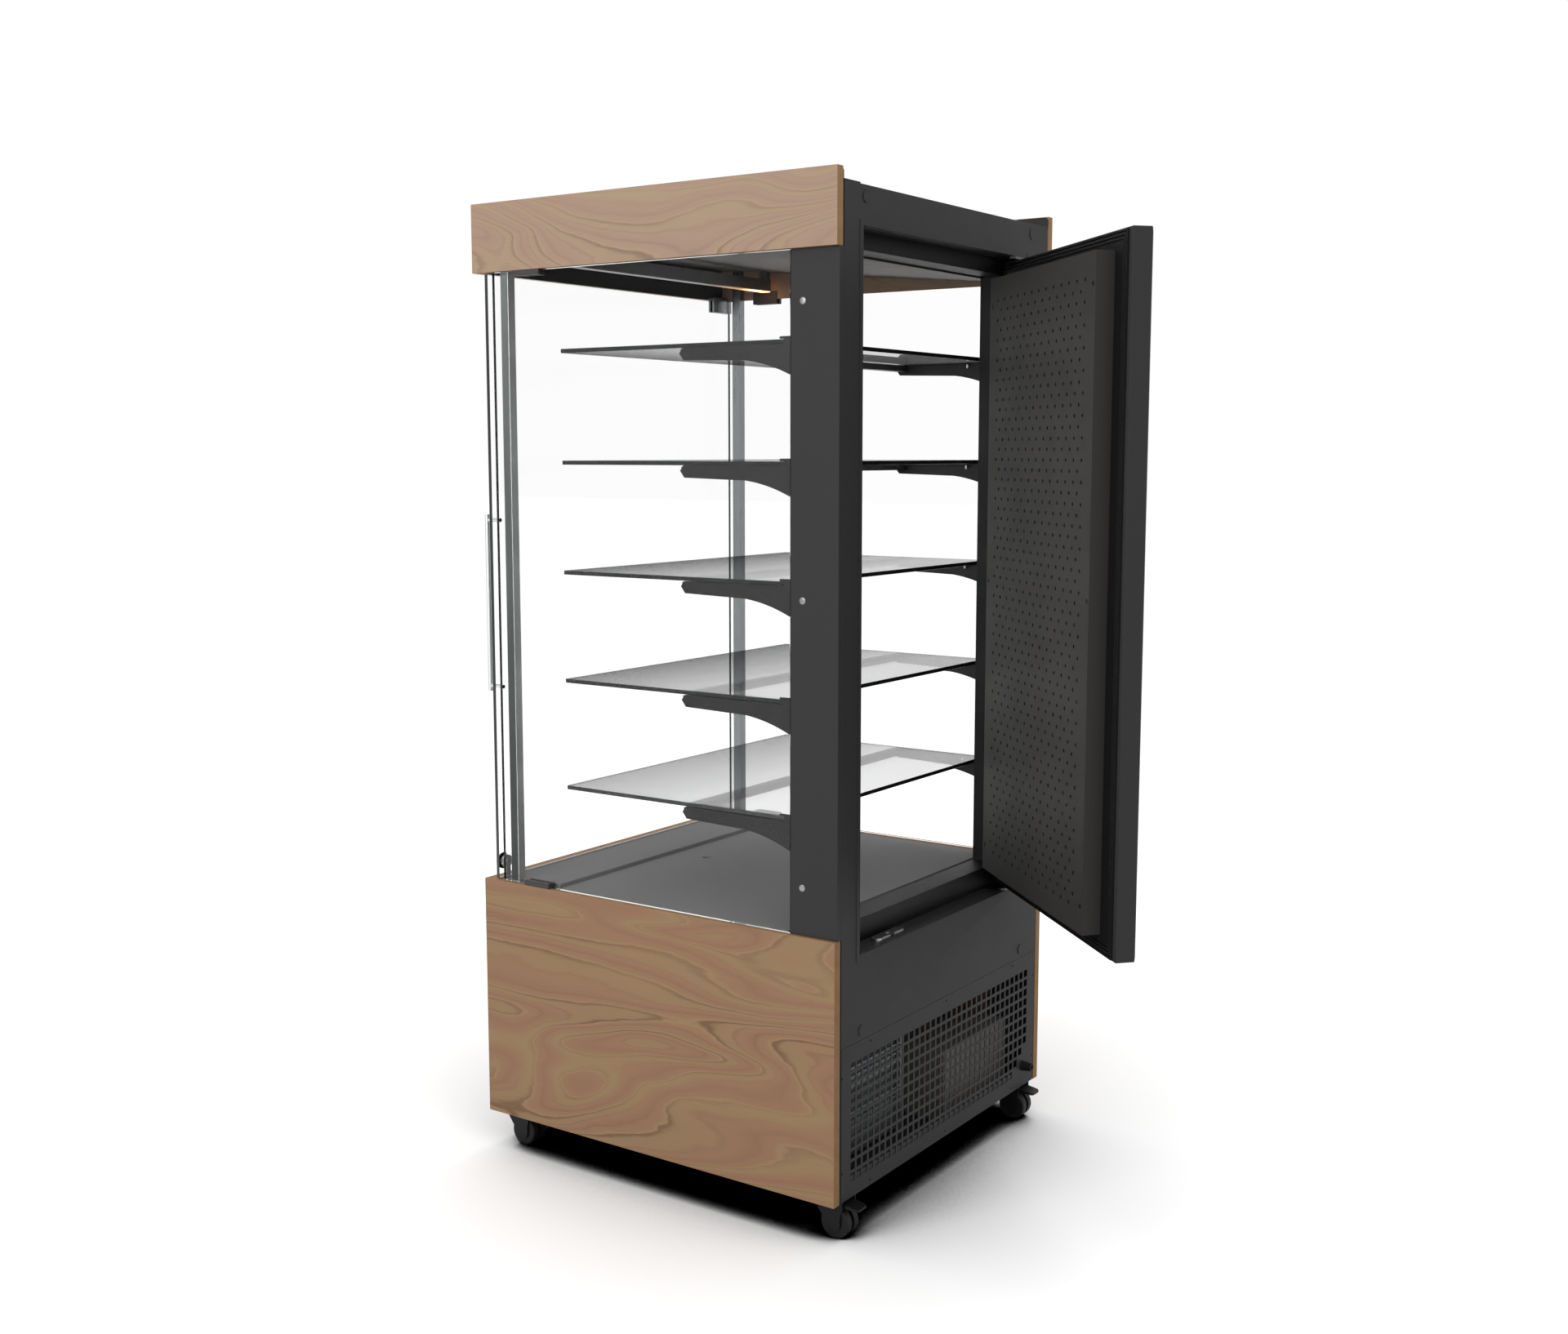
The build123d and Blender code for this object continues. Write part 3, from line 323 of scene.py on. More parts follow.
# %% Brushed metal and coated skins
brush, brush_in, brush_out = new_group(
    "brush_lines",
    [("Vector", "vector", (0, 0, 0)), ("Stretch", "vector", (1, 1, 1)), ("Color", "color", (1, 1, 1, 1)),
     ("Contrast", "float", 0.15), ("Roughness", "float", 0.3)],
    [("Color", "color"), ("Roughness", "float"), ("Height", "float")],
)
along = stretched(brush, brush_in["Vector"], brush_in["Stretch"])
hairs = noise(brush, along, 220.0, 3.0, 0.6)
clouds = noise(brush, brush_in["Vector"], 3.5, 3.0)
swing = math(brush, "MULTIPLY", math(brush, "SUBTRACT", hairs, 0.5), brush_in["Contrast"])
swing = math(brush, "ADD", swing, math(brush, "MULTIPLY", math(brush, "SUBTRACT", clouds, 0.5), 0.12))
bright = math(brush, "ADD", swing, 1.0)
brush.links.new(blend_colors(brush, 1.0, brush_in["Color"], bright, "MULTIPLY"), brush_out["Color"])
rough = math(brush, "ADD", brush_in["Roughness"], math(brush, "MULTIPLY", swing, 0.8))
brush.links.new(rough, brush_out["Roughness"])
brush.links.new(hairs, brush_out["Height"])

coat, coat_in, coat_out = new_group(
    "coat_skin",
    [("Vector", "vector", (0, 0, 0)), ("Color", "color", (1, 1, 1, 1)), ("Pebble", "float", 900.0),
     ("Drift", "float", 0.10), ("Speckle", "float", 0.18), ("Roughness", "float", 0.45)],
    [("Color", "color"), ("Roughness", "float"), ("Height", "float")],
)
pebble = noise(coat, coat_in["Vector"], coat_in["Pebble"])
drift = noise(coat, coat_in["Vector"], 2.2, 4.0, 0.6)
marks = ramp(coat, noise(coat, coat_in["Vector"], 9.0, 5.0, 0.7), [(0.45, 0.0), (0.75, 1.0)])
swing = math(coat, "MULTIPLY", math(coat, "SUBTRACT", drift, 0.5), coat_in["Drift"])
speck = math(coat, "MULTIPLY", math(coat, "SUBTRACT", pebble, 0.5), coat_in["Speckle"])
bright = math(coat, "ADD", math(coat, "ADD", swing, speck), 1.0)
coat.links.new(blend_colors(coat, 1.0, coat_in["Color"], bright, "MULTIPLY"), coat_out["Color"])
rough = math(coat, "ADD", coat_in["Roughness"], math(coat, "MULTIPLY", marks, 0.06))
coat.links.new(rough, coat_out["Roughness"])
coat.links.new(pebble, coat_out["Height"])
print("node groups:", [group.name for group in bpy.data.node_groups])

# %% [markdown]
# ## Finishes
# A finish is a material: one of the groups above feeds a Principled shader. Object coordinates keep every pattern
# at its real scale, because all pieces share one frame.

# %% How a finish is made


def finish(name, group, bump=0.0, distance=0.0002, settings=None, **values):
    """A material whose group drives colour, roughness and a small bump."""
    material = bpy.data.materials.new(name)
    material.use_nodes = True
    tree = material.node_tree
    tree.nodes.clear()
    shader = add_node(tree, "ShaderNodeBsdfPrincipled")
    for key, value in (settings or {}).items():
        shader.inputs[key].default_value = value
    effect = tree.nodes.new("ShaderNodeGroup")
    effect.node_tree = group
    tree.links.new(add_node(tree, "ShaderNodeTexCoord").outputs["Object"], effect.inputs["Vector"])
    for key, value in values.items():
        effect.inputs[key].default_value = value
    if "End grain" in effect.inputs:
        cut_mask = tree.nodes.new("ShaderNodeAttribute")
        cut_mask.attribute_name = "end_grain"
        tree.links.new(cut_mask.outputs["Fac"], effect.inputs["End grain"])
    tree.links.new(effect.outputs["Color"], shader.inputs["Base Color"])
    tree.links.new(effect.outputs["Roughness"], shader.inputs["Roughness"])
    if bump:
        rise = add_node(tree, "ShaderNodeBump", Strength=bump, Distance=distance, Height=effect.outputs["Height"])
        tree.links.new(rise.outputs[0], shader.inputs["Normal"])
    add_node(tree, "ShaderNodeOutputMaterial", Surface=shader.outputs[0])
    return material


# %% [markdown]
# The boards are one kind of wood. Those of the header are paler and greyer than those around the machine
# space. The grain of a side board runs along the case and that of a front board across it, so the stretch
# differs, and end grain is darker and more golden.

# %% Wood
dull, duller, matt = ({"Specular IOR Level": level} for level in (0.2, 0.1, 0.0))
header_colors = {"Early": srgb("#A98D7B"), "Late": srgb("#B0977D"), "Line": srgb("#8F7866"), "End": srgb("#9C7A50"),
                 "settings": dull}
lower_colors = {"Early": srgb("#97735A"), "Late": srgb("#9F8462"), "Line": srgb("#7A5E48"), "End": srgb("#93714A"),
                "settings": dull}
grain_along, grain_across = (1.0, 0.62, 3.0), (0.62, 1.0, 3.0)
header_side_wood = finish("header_side_wood", wood_figure, 0.2, Stretch=grain_along, **header_colors)
header_front_wood = finish("header_front_wood", wood_figure, 0.2, Stretch=grain_across, **header_colors)
lower_side_wood = finish("lower_side_wood", wood_figure, 0.2, Stretch=grain_along, **lower_colors)
lower_front_wood = finish("lower_front_wood", wood_figure, 0.2, Stretch=grain_across, **lower_colors)

# %% Paint, plastic and rubber
def coated(name, code, roughness, bump=0.2, settings=dull, **values):
    """A sprayed or moulded skin; the bump is how strongly its pebble shows."""
    return finish(name, coat, bump, 0.0001, settings, Color=srgb(code), Roughness=roughness, **values)


charcoal = coated("charcoal_paint", "#393838", 0.5, 0.25, duller)
deck_paint = coated("deck_paint", "#858484", 0.42, 0.3, matt, Pebble=420.0, Drift=0.2)
panel_paint = coated("panel_paint", "#363433", 0.55, 0.3)
# Tunnel black lines the doorway and is also painted shade on the walls of the duct's holes.
tunnel_black_and_hole_shade = coated("tunnel_black_and_hole_shade", "#131313", 0.5)
bracket_grey = coated("bracket_grey", "#2C2B2B", 0.45)
ceiling_grey = coated("ceiling_grey", "#4A453F", 0.5)
black_plastic = coated("black_plastic", "#0F0F0F", 0.45, 0.3)
black_rubber = coated("black_rubber", "#0B0B0B", 0.6, 0.3, Pebble=500.0)
black_enamel = coated("black_enamel", "#101011", 0.25, 0.15, None, Pebble=300.0)
clip_plastic = coated("clip_plastic", "#434041", 0.5)
caster_black = coated("caster_black", "#0D0D0E", 0.42, 0.25)
wheel_rubber = coated("wheel_rubber", "#131415", 0.5, 0.3)
grey_box = coated("grey_box", "#77736C", 0.5, settings=None, Drift=0.3)
tub_shell = coated("tub_shell", "#2C2A28", 0.6, Drift=0.3)
zinc = coated("zinc_sheet", "#8B8F91", 0.45, settings={"Metallic": 0.8}, Pebble=60.0, Drift=0.3)


# %% Metal
def brushed(name, code, roughness, stretch, contrast, bump=0.15):
    """A bare metal whose fine lines run along the direction with the smallest stretch."""
    return finish(name, brush, bump, 0.00005, {"Metallic": 1.0}, Stretch=stretch, Color=srgb(code),
                  Contrast=contrast, Roughness=roughness)


satin = brushed("satin_aluminium", "#C8CACA", 0.38, (1, 1, 0.02), 0.16)
# Clamp metal is also the painted shade of the far front post.
clamp_metal_and_post_shade = brushed("clamp_metal_and_post_shade", "#7E8182", 0.3, (1, 1, 0.1), 0.2)
steel = brushed("brushed_steel", "#B4B5B3", 0.32, (0.02, 1, 1), 0.22)
brass = brushed("yellow_zinc", "#D8A86A", 0.4, (1, 1, 1), 0.15, 0.1)
lamp_cover = finish("lamp_cover", coat, Color=srgb("#4A4540"), Roughness=0.3, settings={"Emission Strength": 7.0})
print("materials so far:", len(bpy.data.materials))

# %% [markdown]
# The lamp under the ceiling glows a warm white at the far end of its cover and is dim along the rest. The glow is
# a group of its own: it turns a place along the cover into a colour, which feeds the emission.

# %% Lamp glow
glow, glow_in, glow_out = new_group("end_glow", [("Vector", "vector", (0, 0, 0)), ("Glow", "color", (1, 1, 1, 1)),
                                                 ("Start", "float", 0.0), ("Reach", "float", 0.1)],
                                    [("Color", "color")])
along_lamp = add_node(glow, "ShaderNodeSeparateXYZ", Vector=glow_in["Vector"]).outputs["X"]
far_share = math(glow, "DIVIDE", math(glow, "SUBTRACT", glow_in["Start"], along_lamp), glow_in["Reach"])
bright = ramp(glow, far_share, [(0.0, 0.0), (0.5, 0.08), (1.0, 1.0)])
glow.links.new(blend_colors(glow, 1.0, glow_in["Glow"], bright, "MULTIPLY"), glow_out["Color"])
tree = lamp_cover.node_tree
effect = tree.nodes.new("ShaderNodeGroup")
effect.node_tree = glow
tree.links.new(add_node(tree, "ShaderNodeTexCoord").outputs["Object"], effect.inputs["Vector"])
effect.inputs["Glow"].default_value = (1.0, 0.50, 0.20, 1.0)
effect.inputs["Start"].default_value, effect.inputs["Reach"].default_value = -0.15, 0.23
shader = next(node for node in tree.nodes if node.type == "BSDF_PRINCIPLED")
tree.links.new(effect.outputs["Color"], shader.inputs["Emission Color"])
print("lamp glows at its far end")

# %% [markdown]
# Glass is nearly clear. Light has to reach the shelves through it, and a real render would need very many rays
# for that, so a shadow ray or a ray of diffuse light passes straight through. The shelves get a painted shade
# where we see them at a slant, most of all toward the customer's side.

# %% Glass


def clear_glass(name, tint, bending, painted_shade_at_a_slant=None):
    """Glass of a given tint; the bending is its index of refraction, and a low one also calms reflections.
    The last input lists how much painted shade it gets as the view turns from straight on to grazing; the shade is
    stronger toward the customer's side."""
    material = bpy.data.materials.new(name)
    material.use_nodes = True
    tree = material.node_tree
    tree.nodes.clear()
    pane = add_node(tree, "ShaderNodeBsdfPrincipled")
    for key, value in {"Base Color": tint, "Roughness": 0.0, "IOR": bending, "Transmission Weight": 1.0}.items():
        pane.inputs[key].default_value = value
    surface = pane.outputs[0]
    if painted_shade_at_a_slant:
        slant = add_node(tree, "ShaderNodeLayerWeight", Blend=0.5).outputs["Facing"]
        painted_shade_share = ramp(tree, slant, painted_shade_at_a_slant)
        # A dark matt sheet, mixed in by the slant, is painted shade on the shelves.
        painted_shade_sheet = add_node(tree, "ShaderNodeBsdfPrincipled")
        painted_shade_sheet.inputs["Base Color"].default_value = srgb("#1E1F1F")
        painted_shade_sheet.inputs["Specular IOR Level"].default_value = 0.0
        spot = add_node(tree, "ShaderNodeTexCoord").outputs["Object"]
        reach = add_node(tree, "ShaderNodeSeparateXYZ", Vector=spot)
        # The painted shade is full at the front of the case and about a third as strong at the rear.
        toward_rear = add_node(tree, "ShaderNodeMapRange", Value=reach.outputs["Y"], From__Min=middle_y - 0.30,
                               From__Max=middle_y + 0.20, To__Min=1.0, To__Max=0.35)
        painted_shade_share = math(tree, "MULTIPLY", painted_shade_share, toward_rear.outputs[0])
        surface = add_node(tree, "ShaderNodeMixShader", _0=painted_shade_share, _1=surface, _2=painted_shade_sheet.outputs[0]).outputs[0]
    path = add_node(tree, "ShaderNodeLightPath")
    through = add_node(tree, "ShaderNodeMath", _0=path.outputs["Is Shadow Ray"], _1=path.outputs["Is Diffuse Ray"])
    through.operation = "MAXIMUM"
    open_air = add_node(tree, "ShaderNodeBsdfTransparent", Color=(0.95, 0.96, 0.955, 1.0))
    blended = add_node(tree, "ShaderNodeMixShader", _0=through.outputs[0], _1=surface, _2=open_air.outputs[0])
    add_node(tree, "ShaderNodeOutputMaterial", Surface=blended.outputs[0])
    return material


wall_glass = clear_glass("wall_glass", (0.985, 0.985, 0.985, 1.0), 1.1)
shelf_glass = clear_glass("shelf_glass", (0.97, 0.975, 0.975, 1.0), 1.45,
                          [(0.52, 0.04), (0.64, 0.18), (0.74, 0.46), (0.82, 0.62), (0.88, 0.84), (0.97, 0.92)])
glass_edge = finish("ground_glass_edge", coat, Color=srgb("#15191A"), Roughness=0.12, Drift=0.3)

# %% [markdown]
# ## Dressing the solids
# Real boards and folded sheets have a small round along each edge that catches the light. We copy a node's mesh,
# join its loose triangles, merge the flat ones and let a Bevel modifier round the edges. The copy then stands
# for the node and rides on the same body. On boards, the faces that were sawn across are marked for the wood. A
# rule can give some faces a second finish, such as the ground edge of a pane or the lining of the doorway.

# %% Copies with rounded edges


def dressed(node, material, width=0.6, segments=2, angle=30.0, grain=None, second=None, rule=None, gap=0.0):
    """A copy of a CAD node with rounded edges, width in millimetres; grain is the direction of a board's fibres.
    Faces that the rule picks get the second material, and a gap sets a pane's ends back from what holds them."""
    mesh = nodes[node].data.copy()
    mesh.materials.clear()
    work = bmesh.new()
    work.from_mesh(mesh)
    bmesh.ops.remove_doubles(work, verts=work.verts, dist=2e-6)
    bmesh.ops.dissolve_limit(work, angle_limit=radians(0.5), verts=work.verts, edges=work.edges)
    bmesh.ops.recalc_face_normals(work, faces=work.faces)
    if grain:
        mark = work.faces.layers.float.new("end_grain")
        for face in work.faces:
            face[mark] = 1.0 if abs(face.normal.dot(Vector(grain))) > 0.7 or abs(face.normal.z) > 0.7 else 0.0
    if gap:
        low_z, high_z = min(v.co.z for v in work.verts), max(v.co.z for v in work.verts)
        for vertex in work.verts:
            vertex.co.z = min(max(vertex.co.z, low_z + gap * mm), high_z - gap * mm)
    if rule:
        for face in work.faces:
            face.material_index = 1 if rule(face) else 0
    work.to_mesh(mesh)
    work.free()
    mesh.materials.append(material)
    if rule:
        mesh.materials.append(second)
    mesh.shade_smooth()
    mesh.set_sharp_from_angle(angle=radians(angle))
    piece = bpy.data.objects.new(node + "_finished", mesh)
    bpy.context.scene.collection.objects.link(piece)
    if width:
        bevel = piece.modifiers.new("edge_round", "BEVEL")
        bevel.width = width * mm
        bevel.segments = segments
        bevel.limit_method = "ANGLE"
        bevel.angle_limit = radians(angle)
        bevel.harden_normals = True
    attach(piece, nodes[node]["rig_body"])
    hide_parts(node)
    return piece


def paint(node, material):
    """Gives a CAD node a finish without changing its mesh."""
    item = nodes[node]
    if not item.material_slots:
        item.data.materials.append(material)
    for slot in item.material_slots:
        slot.link = "OBJECT"
        slot.material = material


# %% Boards and sheets
along_case, across_case = (0, 1, 0), (1, 0, 0)
for board_node, wood, grain in (
    ("lower_side_panels", lower_side_wood, along_case), ("lower_front_panel", lower_front_wood, across_case),
    ("header_side_panels", header_side_wood, along_case),
):
    dressed(board_node, wood, 0.7, grain=grain)
# The inner face of the front header board, which faces the rear, takes the charcoal paint and reads dark.
dressed("header_front_panel", header_front_wood, 0.7, grain=across_case, second=charcoal,
        rule=lambda face: face.normal.y > 0.9)
# The doorway's step lies 386.9 mm behind the middle; half its width and its floor and roof follow.
rabbet_y, rabbet_half = place(0, 386.9, 0).y, 341 * mm
rabbet_floor, rabbet_roof = (base_lift + 459) * mm, (base_lift + 1777) * mm


def lines_the_doorway(face):
    """True on the step and the tunnel inside the doorway."""
    centre = face.calc_center_median()
    inside = abs(centre.x) < rabbet_half and rabbet_floor < centre.z < rabbet_roof
    step = face.normal.y > 0.9 and abs(centre.y - rabbet_y) < 2 * mm
    wall = abs(face.normal.y) < 0.5 and max(v.co.y for v in face.verts) < rabbet_y + 1 * mm
    return inside and (step or wall)


dressed("rear_frame", charcoal, 0.8, second=tunnel_black_and_hole_shade, rule=lines_the_doorway)
dressed("post_covers", charcoal, 0.8)
dressed("service_door", charcoal, 1.2)
# The far post gets the darker clamp metal as painted shade; both posts are the same satin aluminium.
dressed("front_posts", satin, 0.8, second=clamp_metal_and_post_shade, rule=lambda face: face.calc_center_median().x < 0)
dressed("deck", deck_paint, 0.5)
dressed("front_duct", deck_paint, 0.5)

# %% Glass panes
shelf_names = [f"shelf_{number}" for number in range(1, 6)]
for shelf in shelf_names:
    dressed(shelf, shelf_glass, 0.5, 1, second=glass_edge, rule=lambda face: abs(face.normal.z) < 0.5)
dressed("side_glasses", wall_glass, 0.5, 1, gap=0.5, second=glass_edge, rule=lambda face: abs(face.normal.y) > 0.5)
dressed("front_door_glass", wall_glass, 0.5, 1, second=glass_edge, rule=lambda face: abs(face.normal.y) < 0.5)

# %% Nodes that keep their mesh
finishes = {
    charcoal: ["grille_panel", "frame_trims", "frame_plugs", "header_corner_plates", "base_chassis"],
    satin: ["pull_handle"], clamp_metal_and_post_shade: ["door_clamps", "lamp_profile", "front_pivots"],
    steel: ["sill_keeper", "lock_barrel", "lock_cam", "latch_pin"],
    zinc: ["caster_stems", "machine_rail", "top_cover", "condenser"],
    bracket_grey: ["brackets_left", "brackets_right", "bracket_bars"],
    black_plastic: ["door_liner", "condenser_fan"],
    black_enamel: ["hinge_plates", "compressor"],
    clip_plastic: ["glass_clips"], black_rubber: ["cable_gland"], lamp_cover: ["lamp_diffuser"],
    grey_box: ["control_box"], tub_shell: ["evaporator_tub"], ceiling_grey: ["ceiling"],
    caster_black: [node for node in nodes if node.startswith(("caster_fork", "brake_pedal"))],
    wheel_rubber: [node for node in nodes if node.startswith("caster_wheels")],
}
for material, names in finishes.items():
    for name in names:
        paint(name, material)
print("painted nodes:", sum(len(names) for names in finishes.values()))

# %% [markdown]
# ## Small parts that repeat
# Screws, pegs, hub rings and perforations repeat, so Geometry Nodes place them. One tree puts a turned part on
# every point of a mesh and points it along the attribute called facing. A modifier's inputs are known by an
# identifier, not by their label, so we look that up. Instances aren't kept by other programs, so the tree makes
# them real, and we take the finished mesh and drop the modifier.

# %% A turned part


def lathe(name, profile, sides):
    """A closed turned mesh from (radius, height) pairs in millimetres that start and end on the axis."""
    work = bmesh.new()
    rows = []
    for radius, height in profile:
        if radius == 0:
            rows.append([work.verts.new((0, 0, height * mm))])
        else:
            rows.append([work.verts.new((radius * mm * cos(2 * pi * i / sides), radius * mm * sin(2 * pi * i / sides),
                                         height * mm)) for i in range(sides)])
    for lower, upper in zip(rows, rows[1:]):
        for i in range(sides):
            j = (i + 1) % sides
            if len(lower) == 1:
                work.faces.new((lower[0], upper[j], upper[i]))
            elif len(upper) == 1:
                work.faces.new((lower[i], lower[j], upper[0]))
            else:
                work.faces.new((lower[i], lower[j], upper[j], upper[i]))
    bmesh.ops.recalc_face_normals(work, faces=work.faces)
    mesh = bpy.data.meshes.new(name)
    work.to_mesh(mesh)
    work.free()
    mesh.shade_smooth()
    mesh.set_sharp_from_angle(angle=radians(35))
    return mesh


def new_tree(name, inputs):
    """An empty Geometry Nodes tree that takes a mesh and gives one back; an input is (name, socket kind)."""
    tree = bpy.data.node_groups.new(name, "GeometryNodeTree")
    tree.interface.new_socket(name="Geometry", in_out="INPUT", socket_type="NodeSocketGeometry")
    for label, kind in inputs:
        tree.interface.new_socket(name=label, in_out="INPUT", socket_type="NodeSocket" + kind)
    tree.interface.new_socket(name="Geometry", in_out="OUTPUT", socket_type="NodeSocketGeometry")
    return tree, tree.nodes.new("NodeGroupInput").outputs, tree.nodes.new("NodeGroupOutput").inputs


def ended(tree, geometry, material, end):
    """Closes a tree: instances are made real and get their material."""
    solid = add_node(tree, "GeometryNodeRealizeInstances", Geometry=geometry)
    colored = add_node(tree, "GeometryNodeSetMaterial", Geometry=solid.outputs[0], Material=material)
    tree.links.new(colored.outputs[0], end["Geometry"])


# %% The tree that places small parts
placer, start, end = new_tree("place_small_parts", [("Part", "Object"), ("Size", "Float"), ("Turn", "Float"),
                                                    ("Material", "Material")])
shape = add_node(placer, "GeometryNodeObjectInfo", Object=start["Part"])
facing = placer.nodes.new("GeometryNodeInputNamedAttribute")
facing.data_type = "FLOAT_VECTOR"
facing.inputs["Name"].default_value = "facing"
aimed = add_node(placer, "FunctionNodeAlignRotationToVector", Vector=facing.outputs["Attribute"])
aimed.axis = "Z"
spots = add_node(placer, "GeometryNodeMeshToPoints", Mesh=start["Geometry"])
chance = placer.nodes.new("FunctionNodeRandomValue")
chance.data_type = "FLOAT"
chance.inputs["Seed"].default_value = 7
placer.links.new(start["Turn"], [s for s in chance.inputs if s.name == "Max" and s.type == "VALUE"][0])
spin = add_node(placer, "ShaderNodeCombineXYZ", Z=[s for s in chance.outputs if s.type == "VALUE"][0])
turned = add_node(placer, "FunctionNodeRotateRotation", Rotation=aimed.outputs[0], Rotate__By=spin.outputs[0])
turned.rotation_space = "LOCAL"
copies = add_node(placer, "GeometryNodeInstanceOnPoints", Points=spots.outputs[0], Instance=shape.outputs["Geometry"],
                  Rotation=turned.outputs[0], Scale=start["Size"])
ended(placer, copies.outputs[0], start["Material"], end)


def grown(name, tree, mesh, values, prototype=None):
    """Runs a tree on a mesh and returns the plain object that comes out."""
    piece = bpy.data.objects.new(name, mesh)
    bpy.context.scene.collection.objects.link(piece)
    helper = None
    if prototype:
        helper = bpy.data.objects.new(name + "_prototype", prototype)
        bpy.context.scene.collection.objects.link(helper)
        values = {**values, "Part": helper}
    modifier = piece.modifiers.new("tree", "NODES")
    modifier.node_group = tree
    for item in tree.interface.items_tree:
        if item.in_out == "INPUT" and item.name in values:
            modifier[item.identifier] = values[item.name]
    seen_piece = piece.evaluated_get(bpy.context.evaluated_depsgraph_get())
    result = bpy.data.meshes.new_from_object(seen_piece)
    piece.modifiers.clear()
    piece.data = result
    result.name = name
    if helper:
        bpy.data.objects.remove(helper)
    return piece


def small_parts(name, prototype, spots, material, body, turn=0.0):
    """A turned part on each spot; a spot is (point, direction)."""
    mesh = bpy.data.meshes.new(name + "_points")
    mesh.from_pydata([tuple(point) for point, _ in spots], [], [])
    directions = mesh.attributes.new("facing", "FLOAT_VECTOR", "POINT")
    for i, (_, direction) in enumerate(spots):
        directions.data[i].vector = direction
    piece = grown(name, placer, mesh, {"Size": 1.0, "Turn": turn, "Material": material}, prototype)
    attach(piece, body)
    print(name, "has", len(spots), "copies and", len(piece.data.polygons), "faces")
    return piece


# %% [markdown]
# The posts are held by three satin screws a side. The grille hangs on small black screws, one row along its top
# and bottom and two at each end. Two pale screws sit in the top of the doorway, and one yellow screw holds each
# corner plate to its header board.

# %% Screws on the cabinet
right, left, outward, down = Vector((1, 0, 0)), Vector((-1, 0, 0)), Vector((0, 1, 0)), Vector((0, 0, -1))
glass_face, post_screw_y, post_screw_heights = 408.0, 356.6, (1645.4, 1117.5, 591.3)
post_screws = [(place(side.x * glass_face, post_screw_y, base_lift + z), side) for side in (right, left)
               for z in post_screw_heights]
dome = lathe("dome", [(0, -0.2), (6.5, -0.2), (6.5, 0.25), (6.1, 0.6), (5.0, 0.85), (3.2, 1.0), (0, 1.05)], 24)
small_parts("post_screws", dome, post_screws, clamp_metal_and_post_shade, "cabinet")

grille_face = (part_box("grille_panel")[1].y - middle_y) / mm
grille_spots = [(x, z) for z in (285.0, 12.0) for x in (-289.5, 0.0, 289.5)]
grille_spots += [(x, z) for x in (-389.0, 389.0) for z in (239.5, 57.5)]
button = lathe("button", [(0, -0.2), (2.6, -0.2), (2.6, 0.35), (2.0, 0.8), (1.1, 0.95), (1.0, 0.4), (0, 0.4)], 14)
small_parts("grille_screws", button, [(place(x, grille_face, base_lift + z), outward) for x, z in grille_spots],
            black_plastic, "cabinet")

# %% Screws of the doorway and the header
soffit = [(place(x, 381.0, base_lift + 1776.6), down) for x in (19.0, -232.0)]
pan = lathe("pan", [(0, -0.2), (2.3, -0.2), (2.3, 0.4), (1.6, 1.0), (0, 1.2)], 12)
small_parts("doorway_screws", pan, soffit, satin, "cabinet")
plate_thickness, plate_screw_y, plate_screw_z = 2.2, 422, 1859
plate_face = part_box("header_corner_plates")[1].x / mm - plate_thickness
plate_spots = [(place(side * plate_face, plate_screw_y, plate_screw_z), side * left) for side in (1, -1)]
small_parts("plate_screws", pan, plate_spots, brass, "cabinet")

# %% [markdown]
# The side glasses stand in dark clips. The upper ones are solids of the CAD model; the lower ones are small
# channels on the edge of the lower boards, which we draw here as their counterparts.

# %% Lower glass clips
clip_low, clip_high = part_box("glass_clips")


def channel_pair(name, material):
    """Two legs beside each side glass, with rounded edges."""
    work = bmesh.new()
    inner_leg, outer_leg, leg_height = (394.7, 399.7), (408.3, 416.5), 11.0
    for side in (1, -1):
        for x0, x1 in (inner_leg, outer_leg):
            made = bmesh.ops.create_cube(work, size=1.0)["verts"]
            bmesh.ops.scale(work, vec=((x1 - x0) * mm, clip_high.y - clip_low.y, leg_height * mm), verts=made)
            bmesh.ops.translate(work, vec=(side * (x0 + x1) / 2 * mm, (clip_low.y + clip_high.y) / 2,
                                           high_board.z + leg_height / 2 * mm), verts=made)
    mesh = bpy.data.meshes.new(name)
    work.to_mesh(mesh)
    work.free()
    mesh.materials.append(material)
    piece = bpy.data.objects.new(name, mesh)
    bpy.context.scene.collection.objects.link(piece)
    rounded = piece.modifiers.new("edge_round", "BEVEL")
    rounded.width, rounded.segments = 0.8 * mm, 2
    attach(piece, "cabinet")
    return piece


channel_pair("lower_glass_clips", clip_plastic)

# %% [markdown]
# ## The service door
# The door's own parts are drawn as they lie when it is closed, in millimetres from its hinge, and then turned
# open together. On its black liner stands the air duct: a folded sheet with 58 rows of round holes, every second
# row shifted by half a pitch. A tile with one hole is drawn once, with eight sides and the thickness of the
# sheet, and Geometry Nodes lay out 725 of them. The plain edge of the sheet is drawn around.

# %% Where the door hangs
hinge_x, hinge_y, open_angle = -292.0, 428.0, radians(47.57)
door_frame = Matrix.Translation(place(hinge_x, hinge_y, 0)) @ Matrix.Rotation(open_angle, 4, "Z")


def hung(mesh):
    """Turns a mesh drawn in the closed door's own millimetres to its place on the open door."""
    mesh.transform(door_frame @ Matrix.Scale(mm, 4))
    return mesh


def door_point(u, v, z):
    """A point on the open door, given in the closed door's own millimetres."""
    return door_frame @ Vector((u * mm, v * mm, z * mm))


def door_way(u, v):
    """A level direction on the open door."""
    return door_frame.to_3x3() @ Vector((u, v, 0))


